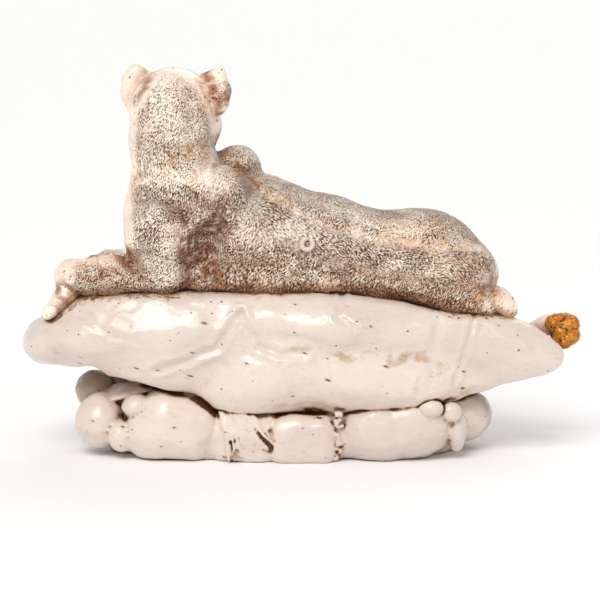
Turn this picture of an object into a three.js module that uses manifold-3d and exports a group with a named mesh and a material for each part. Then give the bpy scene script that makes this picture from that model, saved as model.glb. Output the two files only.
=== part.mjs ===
// A cast resin statue: a tigress with two cubs, lying on a rock ledge that rests on a ring of boulders.
// Millimetres, +Z up. The origin is on the ground under the middle of the boulders. +X runs towards the
// tail. The tigress looks to +Y, so her back is turned to -Y. The whole group is one solid casting.
import * as THREE from "three";
import { mergeVertices } from "three/addons/utils/BufferGeometryUtils.js";
import Module from "manifold-3d";

// Driving sizes
const LEDGE_LENGTH = 356; // rock ledge, tip to tip
const LEDGE_DEPTH = 126; // rock ledge, back face to front face
const LEDGE_TOP = 107; // height of the shelf that the animals lie on
const LEDGE_UNDERSIDE = 26; // height of the ledge's lowest point
const LEDGE_WORN = 9; // radius that the ledge's edges are worn to
const BOULDERS_LENGTH = 266; // ring of boulders, end to end
const BOULDERS_DEPTH = 112; // ring of boulders, back to front
const BOULDERS_HEIGHT = 42; // the tallest boulders, which meet the ledge
const TIGRESS_LENGTH = 290; // tigress, from her wrist to her rump
const CUB_LENGTH = 82; // each cub, from its nose to its rump

// How the surface is traced
const LATTICE_STEP = 3.6; // spacing of the points at which the form is sampled
const FACE_BUDGET = 9000; // triangles that are kept after thinning
const JOINT_FILLET = 1.5; // softness of the line where the animals meet the rock
const SUNK = 4; // how far the form runs below the ground before it is cut flat
const CLEAR = 5; // empty space that the lattice keeps round the forms
const FAR = 1e6;

// A form is { middle, span, reach, depth }. depth(x, y, z) is the distance to its skin, negative inside. No
// point of the form lies further than reach from its middle, or than span along X, Y and Z.

// The turn from the casting's axes to a form's own axes, for a form leant by these angles in degrees.
function ownAxes(lean) {
  const [a, b, c] = lean.map(THREE.MathUtils.degToRad);
  const turn = new THREE.Matrix4().makeRotationFromEuler(new THREE.Euler(a, b, c, "ZYX"));
  return turn.transpose().elements;
}

// How far a form reaches along X, Y and Z, from the halves along its own axes and a way to sum them.
const spanned = (e, half, total) => [0, 1, 2].map((i) => total(...half.map((h, j) => e[4 * i + j] * h)));

// An egg-shaped mass with three half widths.
function ball(middle, [rx, ry, rz], lean = [0, 0, 0]) {
  const [cx, cy, cz] = middle;
  const e = ownAxes(lean);
  const least = Math.min(rx, ry, rz);
  return {
    middle,
    span: spanned(e, [rx, ry, rz], Math.hypot),
    reach: Math.max(rx, ry, rz),
    depth(x, y, z) {
      const [dx, dy, dz] = [x - cx, y - cy, z - cz];
      const u = (e[0] * dx + e[4] * dy + e[8] * dz) / rx;
      const v = (e[1] * dx + e[5] * dy + e[9] * dz) / ry;
      const w = (e[2] * dx + e[6] * dy + e[10] * dz) / rz;
      const share = Math.sqrt(u * u + v * v + w * w);
      const slope = Math.sqrt((u / rx) ** 2 + (v / ry) ** 2 + (w / rz) ** 2);
      return slope < 1e-9 ? -least : (share * (share - 1)) / slope;
    },
  };
}

// A block with half sizes, whose edges are rounded to a radius.
function block(middle, half, round, lean = [0, 0, 0]) {
  const [cx, cy, cz] = middle;
  const e = ownAxes(lean);
  const [hx, hy, hz] = half.map((h) => h - Math.min(round, ...half));
  const edge = Math.min(round, ...half);
  return {
    middle,
    span: spanned(e, half, (a, b, c) => Math.abs(a) + Math.abs(b) + Math.abs(c)),
    reach: Math.hypot(...half),
    depth(x, y, z) {
      const [dx, dy, dz] = [x - cx, y - cy, z - cz];
      const u = Math.abs(e[0] * dx + e[4] * dy + e[8] * dz) - hx;
      const v = Math.abs(e[1] * dx + e[5] * dy + e[9] * dz) - hy;
      const w = Math.abs(e[2] * dx + e[6] * dy + e[10] * dz) - hz;
      const out = Math.hypot(Math.max(u, 0), Math.max(v, 0), Math.max(w, 0));
      return out + Math.min(Math.max(u, v, w), 0) - edge;
    },
  };
}

// A round limb that tapers from one radius to another.
function limb(from, to, rFrom, rTo) {
  const along = to.map((t, i) => t - from[i]);
  const square = along.reduce((sum, s) => sum + s * s, 0) || 1;
  const [ax, ay, az] = from;
  const [bx, by, bz] = along;
  return {
    middle: from.map((f, i) => f + along[i] / 2),
    span: along.map((s) => Math.abs(s) / 2 + Math.max(rFrom, rTo)),
    reach: Math.sqrt(square) / 2 + Math.max(rFrom, rTo),
    depth(x, y, z) {
      const [px, py, pz] = [x - ax, y - ay, z - az];
      const share = Math.min(1, Math.max(0, (px * bx + py * by + pz * bz) / square));
      const off = Math.hypot(px - share * bx, py - share * by, pz - share * bz);
      return off - (rFrom + share * (rTo - rFrom));
    },
  };
}

// A bent limb through several places, each with its own radius.
const limbs = (places, radii) =>
  places.slice(1).map((to, i) => limb(places[i], to, radii[i], radii[i + 1]));

const blended = (a, b, soft) => {
  const near = Math.max(soft - Math.abs(a - b), 0);
  return Math.min(a, b) - (near * near) / (4 * soft);
};

// Adds forms to a sculpture with a soft fillet, or carves them out of it.
const add = (soft, ...forms) => forms.flat().map((form) => ({ ...form, soft, carved: false }));
const carve = (soft, ...forms) => forms.flat().map((form) => ({ ...form, soft, carved: true }));

// One distance function for a list of added and carved forms, worked through in order.
function sculpture(steps) {
  return (x, y, z) => {
    let depth = FAR;
    for (const step of steps) {
      const [mx, my, mz] = step.middle;
      const gap = Math.hypot(x - mx, y - my, z - mz) - step.reach;
      if (step.carved) {
        if (gap < step.soft - depth) depth = -blended(-depth, step.depth(x, y, z), step.soft);
      } else if (gap < depth + step.soft) {
        depth = blended(depth, step.depth(x, y, z), step.soft);
      }
    }
    return depth;
  };
}

// Rock ledge: a slab bounded by sloping faces whose edges are worn round, with low swells on its back.
function ledgeSteps() {
  const half = LEDGE_LENGTH / 2;
  const deep = LEDGE_DEPTH / 2;
  const thick = LEDGE_TOP - LEDGE_UNDERSIDE;
  const middle = [0.0225 * LEDGE_LENGTH, 0.048 * LEDGE_DEPTH, LEDGE_UNDERSIDE + thick / 2];
  const at = (x, y, z) => [middle[0] + x * half, middle[1] + y * deep, LEDGE_UNDERSIDE + z * thick];
  // Each face: a point on it as shares of half length, half depth and thickness, and its outward direction.
  const faces = [
    [[0, 0, 1.0], [0.0, 0.0, 1]],
    [[0.1, 0, 1.0], [0.15, 0.0, 1]],
    [[0.8, -0.4, 0.79], [0.72, 0.4, 1]],
    [[-0.933, 0, 0.728], [-0.91, 0, 1]],
    [[-0.98, 0, 0.5], [-1, 0, -0.12]],
    [[-0.55, 0, 0.25], [-0.25, -0.08, -1]],
    [[-0.1, 0, 0.0], [-0.12, 0, -1]],
    [[0.1, 0, 0.0], [0.12, 0, -1]],
    [[0.6, 0, 0.1], [0.44, -0.12, -1]],
    [[1.02, 0, 0.44], [1, 0, -0.25]],
    [[0, -0.9, 0.55], [0, -1, 0.3]],
    [[0, -0.9, 0.55], [0.05, -1, -0.42]],
    [[0.45, -0.86, 0.5], [0.38, -1, 0]],
    [[-0.5, -0.88, 0.5], [-0.42, -1, -0.1]],
    [[0, 1.0, 0.5], [0, 1, 0.3]],
    [[0, 1.0, 0.5], [0, 1, -0.6]],
    [[0.4, 0.96, 0.5], [0.5, 1, 0]],
    [[-0.5, 0.96, 0.5], [-0.5, 1, 0]],
  ].map(([place, direction]) => {
    const point = at(...place);
    const size = Math.hypot(...direction);
    const [nx, ny, nz] = direction.map((d) => d / size);
    return [nx, ny, nz, nx * point[0] + ny * point[1] + nz * point[2]];
  });
  const slab = {
    middle,
    span: [half, 1.06 * deep, 0.56 * thick],
    reach: half * 1.1,
    depth(x, y, z) {
      let depth = -FAR;
      for (const [nx, ny, nz, far] of faces) {
        depth = -blended(-depth, far - (nx * x + ny * y + nz * z), LEDGE_WORN);
      }
      const [u, v, w] = [x / half, y / deep, z / thick];
      const wave = Math.sin(7.74 * u + 1.1) * Math.sin(4.76 * w + 1.575 * v);
      const ripple = 0.6 * Math.sin(16.2 * u - 6.23 * w);
      return depth - 0.01 * thick * (wave + ripple);
    },
  };
  const swells = [
    [[-0.905, -0.1, 0.56], [0.078, 0.44, 0.16]],
    [[-0.6, -0.44, 0.63], [0.31, 0.42, 0.23], [0, 3, 0]],
    [[-0.38, -0.56, 0.68], [0.28, 0.36, 0.26], [0, 4, 0]],
    [[0.16, -0.7, 0.76], [0.34, 0.34, 0.2], [0, 5, 0]],
    [[-0.12, -0.62, 0.34], [0.22, 0.4, 0.26], [0, -20, 0]],
    [[0.26, -0.6, 0.32], [0.3, 0.38, 0.24], [0, 4, 0]],
    [[0.7, -0.34, 0.56], [0.26, 0.34, 0.22], [0, 14, 0]],
    [[0.1, 0.8, 0.6], [0.4, 0.3, 0.3]],
    [[-0.5, 0.62, 0.6], [0.26, 0.34, 0.26]],
    [[-0.1, 0.74, 0.88], [0.42, 0.28, 0.13]],
  ].map(([place, size, lean]) => ball(at(...place), [size[0] * half, size[1] * deep, size[2] * thick], lean));
  const furrows = [
    [[-0.14, -1.02, 0.88], [-0.42, -1.04, 0.52], 0.037],
    [[-0.14, -1.02, 0.88], [0.02, -1.08, 0.56], 0.037],
    [[0.52, -0.86, 0.86], [0.47, -0.92, 0.2], 0.018],
    [[-0.76, -1, 0.3], [-0.72, 0.7, 0.3], 0.1],
  ].map(([from, to, share]) => limb(at(...from), at(...to), share * thick, share * thick));
  return [...add(1, slab), ...add(14, swells), ...carve(8, furrows)];
}

// Boulders: places and half widths as shares of the ring's half length, half depth and height.
function boulderSteps() {
  const [length, depth, height] = [BOULDERS_LENGTH / 2, BOULDERS_DEPTH / 2, BOULDERS_HEIGHT];
  const at = (x, y, z) => [(x - 0.015) * length, y * depth, z * height];
  const stone = (place, half, lean) =>
    ball(at(...place), [half[0] * length, half[1] * depth, half[2] * height], lean);
  const cobble = (place, half, round, lean) =>
    block(at(...place), [half[0] * length, half[1] * depth, half[2] * height], round * height, lean);
  const seen = [
    stone([-0.885, -0.27, 0.52], [0.125, 0.36, 0.45]),
    stone([-0.93, 0.27, 0.88], [0.105, 0.3, 0.31], [0, 12, 0]),
    stone([-0.81, 0.45, 0.98], [0.065, 0.2, 0.2]),
    stone([-0.76, 0.02, 0.92], [0.21, 0.44, 0.12], [0, -12, 0]),
    stone([-0.775, -0.5, 0.35], [0.072, 0.22, 0.27]),
    stone([-0.7, -0.5, 0.8], [0.07, 0.2, 0.2]),
    cobble([-0.5, -0.43, 0.5], [0.21, 0.43, 0.55], 0.5, [0, 5, 4]),
    stone([-0.58, -0.42, 0.44], [0.2, 0.45, 0.5], [0, -14, 0]),
    cobble([0.1, -0.4, 0.34], [0.165, 0.44, 0.4], 0.24, [3, -1, 0]),
    stone([0.48, -0.42, 0.47], [0.25, 0.46, 0.57], [0, -6, 0]),
    stone([0.6, -0.42, 0.52], [0.25, 0.45, 0.56], [0, 2, 0]),
    stone([0.71, -0.75, 0.84], [0.056, 0.12, 0.14]),
    stone([0.815, -0.66, 0.76], [0.05, 0.12, 0.16]),
    stone([0.845, -0.5, 0.42], [0.055, 0.22, 0.32]),
    stone([0.84, 0.14, 0.52], [0.2, 0.54, 0.46]),
  ];
  // Roots that fan out over a stone between two of the boulders.
  const rootStone = cobble([-0.17, -0.38, 0.38], [0.17, 0.42, 0.52], 0.34, [0, 10, 0]);
  const roots = [0, 0.25, 0.5, 0.75, 1].map((share) =>
    limb(
      at(-0.33 + 0.18 * share, -0.72, 0.92 - 0.12 * share),
      at(-0.3 + 0.27 * share, -0.76, 0.06 + 0.44 * share ** 1.6),
      0.08 * height,
      0.05 * height,
    ),
  );
  const front = [
    cobble([-0.6, 0.5, 0.46], [0.25, 0.42, 0.5], 0.44, [0, 4, -10]),
    stone([-0.28, 0.74, 0.28], [0.13, 0.28, 0.36]),
    cobble([-0.03, 0.56, 0.42], [0.2, 0.42, 0.46], 0.4, [0, -4, 4]),
    stone([0.21, 0.74, 0.34], [0.1, 0.26, 0.32]),
    cobble([0.46, 0.54, 0.44], [0.22, 0.42, 0.5], 0.44, [0, 4, 8]),
    stone([0.22, 0.8, 0.86], [0.07, 0.15, 0.16]),
    stone([-0.34, 0.76, 0.8], [0.08, 0.17, 0.18]),
  ];
  const core = stone([0, 0, 0.1], [0.86, 0.6, 0.86]);
  return [...add(2, core, rootStone), ...add(1, seen, front), ...add(1, roots)];
}

// Tigress: places and girths in hundredths of her length, from the shelf under her chest.
const besideTigress = (x, y, z) => {
  const unit = TIGRESS_LENGTH / 100;
  return [x * unit - 0.1124 * LEDGE_LENGTH, y * unit, z * unit + LEDGE_TOP];
};

function tigressSteps() {
  const unit = TIGRESS_LENGTH / 100;
  const at = besideTigress;
  const girths = (...radii) => radii.map((r) => r * unit);
  const mass = (place, half, lean) => ball(at(...place), girths(...half), lean);
  const bend = (places, radii) => limbs(places.map((p) => at(...p)), girths(...radii));

  const trunk = bend(
    [[-6, 1, 13.6], [8, 1, 12.2], [23, 0.8, 9.8], [34, 0.6, 7.8], [44, 1.4, 6.6]],
    [14.6, 12.6, 10.4, 9.3, 9.6],
  );
  const belly = [
    mass([-2, -2.4, 2.6], [15, 8.6, 8]),
    mass([14, -2.6, 1.8], [18, 8.8, 7.2], [0, 2, 0]),
    mass([30, -1.6, 0.8], [16, 8, 7], [0, 2, 0]),
  ];
  const rump = [
    mass([45.7, 2.5, 7], [12.8, 10.6, 10.4], [0, 14, 0]),
    mass([53.2, 0.6, 3.8], [8.6, 8, 7.4], [0, 24, 0]),
    mass([47, -5.2, 1.2], [13.4, 7.4, 7.6], [0, 8, 0]),
  ];
  const chest = [
    mass([-13.6, -1, 14], [8.8, 12, 14]),
    mass([-11.4, 0, 22], [8.8, 10, 11]),
  ];
  const shoulders = [
    mass([-14, -9, 11.6], [7.4, 6.4, 9.6], [0, 8, 0]),
    mass([-6.6, -5, 21], [10, 7.4, 8]),
    mass([-1.2, -8, 18.4], [6.6, 5.8, 10], [6, 22, 0]),
    mass([1.5, 4, 23.9], [6.6, 6, 8.2], [0, 34, 0]),
    mass([-12, 8, 14], [8, 6.6, 11]),
  ];
  const neck = bend([[-10, -1, 22], [-11.3, -0.6, 33], [-11.2, 0.6, 39.5]], [10.2, 9.2, 8.9]);
  const hollows = [
    ...bend([[30.6, -13, 4.4], [25, -13.4, 1.6], [18.6, -13, 1]], [0.9, 1.3, 0.6]),
    ...bend([[-15, -16, 8], [-19.4, -13.6, 8.2], [-22.4, -10, 9]], [0.8, 1, 0.8]),
    mass([-3.4, -17.4, 8.6], [4.4, 7.6, 9.4], [0, 14, 0]),
    ...bend([[-0.6, -3, 32.4], [4.4, -5, 28.2], [8.6, -9.4, 24.2], [13.8, -11.4, 19.6]], [1.9, 2, 1.8, 1.6]),
    ...bend([[13.8, -10.6, 19.4], [23.8, -10.4, 14.8], [32, -9.6, 12.4], [42, -9, 11]], [1.6, 1.5, 1.5, 1.4]),
  ];

  const nearArm = bend([[-15, -8, 11], [-12, -9, 4.2]], [6.4, 5.2]);
  const nearForearm = bend([[-13, -8.4, 3.2], [-24, -8, 3.4], [-33, -7.6, 3.3]], [5, 4.7, 4]);
  const nearToe = (y, i) => mass([-37.8 - 0.3 * (i % 2), y, -4.3], [1.5, 1, 1.9], [0, 40, 0]);
  const nearPaw = [
    ...bend([[-33.9, -7.6, 0.4], [-37.4, -7.4, -4]], [2.9, 1.8]),
    ...[-9.6, -8.1, -6.6, -5.1].map(nearToe),
  ];
  const farArm = bend([[-12, 9, 12], [-8, 12.6, 4]], [6, 4.6]);
  const farForearm = bend([[-8, 12.6, 3.4], [-19, 16.6, 3], [-27, 19, 2.6]], [4.6, 4.2, 3.7]);
  const farPaw = [
    mass([-29.6, 19.8, 1.8], [4.6, 4, 3.2], [0, 0, -14]),
    ...[-2.7, -0.9, 0.9, 2.7].map((y) => mass([-32.8 + 0.1 * y * y, 20.6 + y, 1.2], [2.2, 1.1, 1.9])),
  ];
  const nearFoot = [
    ...bend([[48, -8.8, -3], [58, -7.4, -3.6]], [3.2, 2.6]),
    mass([61.6, -5.4, -2.6], [4.7, 3.2, 3], [0, 42, 0]),
  ];
  const farThigh = bend([[46, 7, 6.6], [35.6, 16, 3.6]], [8.2, 6]);
  const farShank = bend([[35, 16.6, 3], [45, 19.4, 0.6]], [4.8, 3.1]);
  const farFoot = [
    ...bend([[45, 19.4, 0.4], [36, 22, 0.2]], [2.9, 2.8]),
    mass([33, 22.6, 0.4], [4, 3.2, 2.5]),
    ...[-2.1, -0.7, 0.7, 2.1].map((y) => mass([30.4, 22.8 + y, 0.1], [1.8, 0.95, 1.6])),
  ];
  const tail = bend(
    [[55, 5, 1], [60, 12, -7], [66, 12.8, -13.4], [70, 11.2, -12.6], [73.6, 8, -9.6]],
    [3.6, 2.6, 2.4, 2.4, 2.3],
  );
  const tuft = [
    mass([77, 6, -10.3], [3.4, 3.4, 3.6], [0, 30, 0]),
    mass([78.4, 5.4, -9.2], [2, 2.7, 2.1], [0, 20, 0]),
    mass([78.5, 5.2, -11.6], [2.1, 2.7, 2.1], [0, 40, 0]),
    mass([76.9, 4.8, -12.7], [2.1, 2.5, 1.8], [0, 60, 0]),
    mass([74.9, 5.6, -9], [2.1, 2.7, 2.1], [0, 10, 0]),
  ];

  // The head keeps axes of its own, turned a little towards the cubs, with its middle in the skull.
  const faceTurn = -12;
  const headPlace = at(-10.9, 1.2, 40.4);
  const [turnSin, turnCos] = [Math.sin(faceTurn * (Math.PI / 180)), Math.cos(faceTurn * (Math.PI / 180))];
  const onHead = (x, y, z) => [
    headPlace[0] + unit * (x * turnCos - y * turnSin),
    headPlace[1] + unit * (x * turnSin + y * turnCos),
    headPlace[2] + unit * z,
  ];
  const feature = (place, half, lean = [0, 0, 0]) =>
    ball(onHead(...place), girths(...half), [lean[0], lean[1], lean[2] + faceTurn]);
  const pair = (make) => [-1, 1].map(make);
  const skull = [
    feature([0, 0, -0.5], [9.4, 10, 8.9]),
    feature([0, 5.4, -3.8], [8.6, 7.6, 7]),
    ...pair((side) => feature([side * 5.4, 4.2, -5.8], [4, 5, 6], [0, side * 14, 0])),
  ];
  const brow = [
    limb(onHead(0, 7.4, 3.2), onHead(0, 14, -2.6), 3.2 * unit, 2.5 * unit),
    ...pair((side) => feature([side * 4, 8, 3.4], [2.8, 2.6, 1.8], [0, side * 12, 0])),
  ];
  const muzzle = [
    feature([0, 11.4, -6], [5.6, 4.6, 4]),
    ...pair((side) => feature([side * 2.7, 13.4, -6.2], [3.3, 3, 2.8])),
    feature([0, 11.6, -9.6], [3.8, 3.6, 2.3]),
  ];
  const nose = [feature([0, 16.1, -3.5], [2.5, 1.4, 1.4]), feature([0, 15.9, -4.6], [1.1, 1.2, 1])];
  const eyeSockets = pair((side) => feature([side * 4.5, 12, 0.3], [2.6, 2.3, 1.6], [0, side * -16, 0]));
  const eyes = pair((side) => feature([side * 4.4, 10.9, 0.45], [1.9, 1.5, 1.45]));
  const mouth = pair((side) => limb(onHead(0, 16, -7.6), onHead(side * 5, 12, -8.4), 0.5 * unit, 0.4 * unit));
  const ears = [
    feature([-7.8, -0.8, 3.5], [3.9, 2.2, 6], [8, -8, 16]),
    feature([10, -0.5, 2.6], [3.2, 2.2, 4.8], [8, 14, -20]),
    limb(onHead(8.6, -0.6, 3.4), onHead(10.9, -1.1, 8.5), 2.6 * unit, 0.8 * unit),
    limb(onHead(6.4, -0.8, 5), onHead(10.4, -1.1, 7.6), 1.8 * unit, 1.2 * unit),
    limb(onHead(11.4, -0.8, 3.6), onHead(11, -1.1, 7.6), 1.7 * unit, unit),
  ];
  const earCups = [
    feature([-8, 1.4, 4.1], [2.7, 1.6, 4.4], [8, -8, 16]),
    feature([10.4, 2.4, 3.8], [2.2, 1.6, 3.8], [8, 14, -20]),
  ];

  return [
    ...add(6, trunk, belly, rump, chest),
    ...add(4.5, shoulders, neck),
    ...carve(6, hollows),
    ...add(4, nearArm, farArm, farThigh),
    ...add(3, nearForearm, farForearm, farShank, nearFoot, farFoot.slice(0, 2), nearPaw.slice(0, 1)),
    ...add(1.2, nearPaw.slice(1), farPaw, farFoot.slice(2)),
    ...add(3, tail),
    ...add(1.2, tuft),
    ...add(4, skull),
    ...add(2.4, brow, muzzle),
    ...carve(2, eyeSockets),
    ...add(0.6, eyes),
    ...add(1, nose),
    ...carve(0.8, mouth),
    ...add(2.4, ears),
    ...carve(1.4, earCups),
  ];
}

// A cub lying on its belly: places and girths in hundredths of its length, turned about its own middle.
function cubSteps([placeX, placeY, placeZ], heading, headTurn) {
  const unit = CUB_LENGTH / 100;
  const about = (angle, [x, y, z], [ox, oy, oz]) => {
    const [s, c] = [Math.sin(angle * (Math.PI / 180)), Math.cos(angle * (Math.PI / 180))];
    return [ox + x * c - y * s, oy + x * s + y * c, oz + z];
  };
  const at = (x, y, z) => about(heading, [x * unit, y * unit, z * unit], [placeX, placeY, placeZ]);
  const girths = (...radii) => radii.map((r) => r * unit);
  const mass = (place, half, lean = [0, 0, 0]) =>
    ball(at(...place), girths(...half), [lean[0], lean[1], lean[2] + heading]);
  const bend = (places, radii) => limbs(places.map((p) => at(...p)), girths(...radii));
  const sides = (make) => [-1, 1].flatMap(make);

  const body = bend([[14, 0, 21], [-10, 0, 18], [-28, 0, 17]], [16, 15, 16]);
  const forelegs = sides((side) =>
    bend([[16, side * 13, 16], [22, side * 14, 7], [42, side * 11, 5.5]], [9, 7, 6]),
  );
  const thighs = sides((side) => mass([-27, side * 14, 12], [17, 10, 13]));
  const feet = sides((side) => bend([[-26, side * 19, 5.5], [-8, side * 20, 5]], [6, 6]));
  const tail = bend([[-44, 3, 14], [-52, 12, 7], [-42, 24, 5]], [5, 4.5, 4.5]);

  const skullPlace = at(30, 0, 40);
  const facing = heading + headTurn;
  const onHead = (x, y, z) => about(facing, [x * unit, y * unit, z * unit], skullPlace);
  const feature = (place, half, lean = [0, 0, 0]) =>
    ball(onHead(...place), girths(...half), [lean[0], lean[1], lean[2] + facing]);
  const skull = [
    feature([0, 0, 0], [17, 19, 16.5]),
    ...sides((side) => feature([5, side * 10.5, -6], [9, 8.5, 8.5])),
  ];
  const muzzle = [feature([14, 0, -6], [8.5, 9.5, 6.5]), feature([12, 0, -10.5], [8, 7, 4.2])];
  const nose = [feature([21.4, 0, -2.8], [2.6, 3.8, 2.8])];
  const sockets = sides((side) => feature([16.4, side * 8.4, 2.6], [3.5, 4.6, 3.2]));
  const eyes = sides((side) => feature([13.4, side * 8.2, 2.4], [3.2, 3.6, 2.9]));
  const ears = sides((side) => feature([-3, side * 15.5, 13.5], [4.6, 7.6, 9], [side * -26, 0, 0]));
  const earCups = sides((side) => feature([1.2, side * 15.7, 13.8], [3.4, 4.8, 6], [side * -26, 0, 0]));

  return [
    ...add(4, body, thighs, skull),
    ...add(2, forelegs, feet, tail),
    ...add(1.6, muzzle),
    ...carve(1, sockets),
    ...add(0.4, eyes, nose),
    ...add(1.4, ears),
    ...carve(0.8, earCups),
  ];
}

// Surface tracing: each cube of the lattice is split into six tetrahedra round its long diagonal.
const CORNERS = [0, 1, 2, 3, 4, 5, 6, 7].map((n) => [n & 1, (n >> 1) & 1, (n >> 2) & 1]);
const TETRAHEDRA = [[0, 1, 3, 7], [0, 3, 2, 7], [0, 2, 6, 7], [0, 6, 4, 7], [0, 4, 5, 7], [0, 5, 1, 7]];

function traced(field, low, high, step) {
  const count = high.map((h, i) => Math.ceil((h - low[i]) / step) + 1);
  const index = (i, j, k) => i + count[0] * (j + count[1] * k);
  const place = (n) => {
    const i = n % count[0];
    const j = Math.floor(n / count[0]) % count[1];
    const k = Math.floor(n / (count[0] * count[1]));
    return [low[0] + i * step, low[1] + j * step, low[2] + k * step];
  };
  const depth = new Float64Array(count[0] * count[1] * count[2]);
  for (let n = 0; n < depth.length; n++) depth[n] = field(...place(n)) || -1e-6;

  const points = [];
  const faces = [];
  const known = new Map();
  const crossing = (a, b) => {
    const key = Math.min(a, b) * depth.length + Math.max(a, b);
    if (!known.has(key)) {
      const share = Math.min(0.998, Math.max(0.002, depth[a] / (depth[a] - depth[b])));
      const [from, to] = [place(a), place(b)];
      known.set(key, points.length);
      points.push(from.map((f, i) => f + share * (to[i] - f)));
    }
    return known.get(key);
  };
  // Adds a triangle so that it looks away from the inner lattice point.
  const face = (a, b, c, inner) => {
    const [p, q, r] = [points[a], points[b], points[c]];
    const [u, v] = [q.map((s, i) => s - p[i]), r.map((s, i) => s - p[i])];
    const normal = [u[1] * v[2] - u[2] * v[1], u[2] * v[0] - u[0] * v[2], u[0] * v[1] - u[1] * v[0]];
    const out = normal.reduce((sum, s, i) => sum + s * (p[i] - inner[i]), 0);
    faces.push(out > 0 ? [a, b, c] : [a, c, b]);
  };
  for (let k = 0; k + 1 < count[2]; k++) {
    for (let j = 0; j + 1 < count[1]; j++) {
      for (let i = 0; i + 1 < count[0]; i++) {
        const corner = CORNERS.map(([a, b, c]) => index(i + a, j + b, k + c));
        const inside = corner.filter((n) => depth[n] < 0).length;
        if (inside === 0 || inside === 8) continue;
        for (const tetrahedron of TETRAHEDRA) {
          const ends = tetrahedron.map((n) => corner[n]);
          const within = ends.filter((n) => depth[n] < 0);
          const outside = ends.filter((n) => depth[n] >= 0);
          if (!within.length || !outside.length) continue;
          const inner = place(within[0]);
          if (within.length === 2) {
            const [a, b] = within;
            const [c, d] = outside;
            const ring = [crossing(a, c), crossing(a, d), crossing(b, d), crossing(b, c)];
            face(ring[0], ring[1], ring[2], inner);
            face(ring[0], ring[2], ring[3], inner);
          } else {
            const [apex, others] = within.length === 1 ? [within[0], outside] : [outside[0], within];
            face(...others.map((n) => crossing(apex, n)), inner);
          }
        }
      }
    }
  }
  return { points, faces };
}

// Keeps the outer skin only, so that a closed pocket between the stones is filled.
function outerSkin({ points, faces }) {
  const root = points.map((_, v) => v);
  const find = (v) => {
    while (root[v] !== v) v = root[v] = root[root[v]];
    return v;
  };
  for (const [a, b, c] of faces) root[find(b)] = root[find(c)] = find(a);
  const size = new Map();
  for (const [a] of faces) size.set(find(a), (size.get(find(a)) || 0) + 1);
  const largest = [...size].sort((p, q) => q[1] - p[1])[0][0];
  return { points, faces: faces.filter(([a]) => find(a) === largest) };
}

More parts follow.
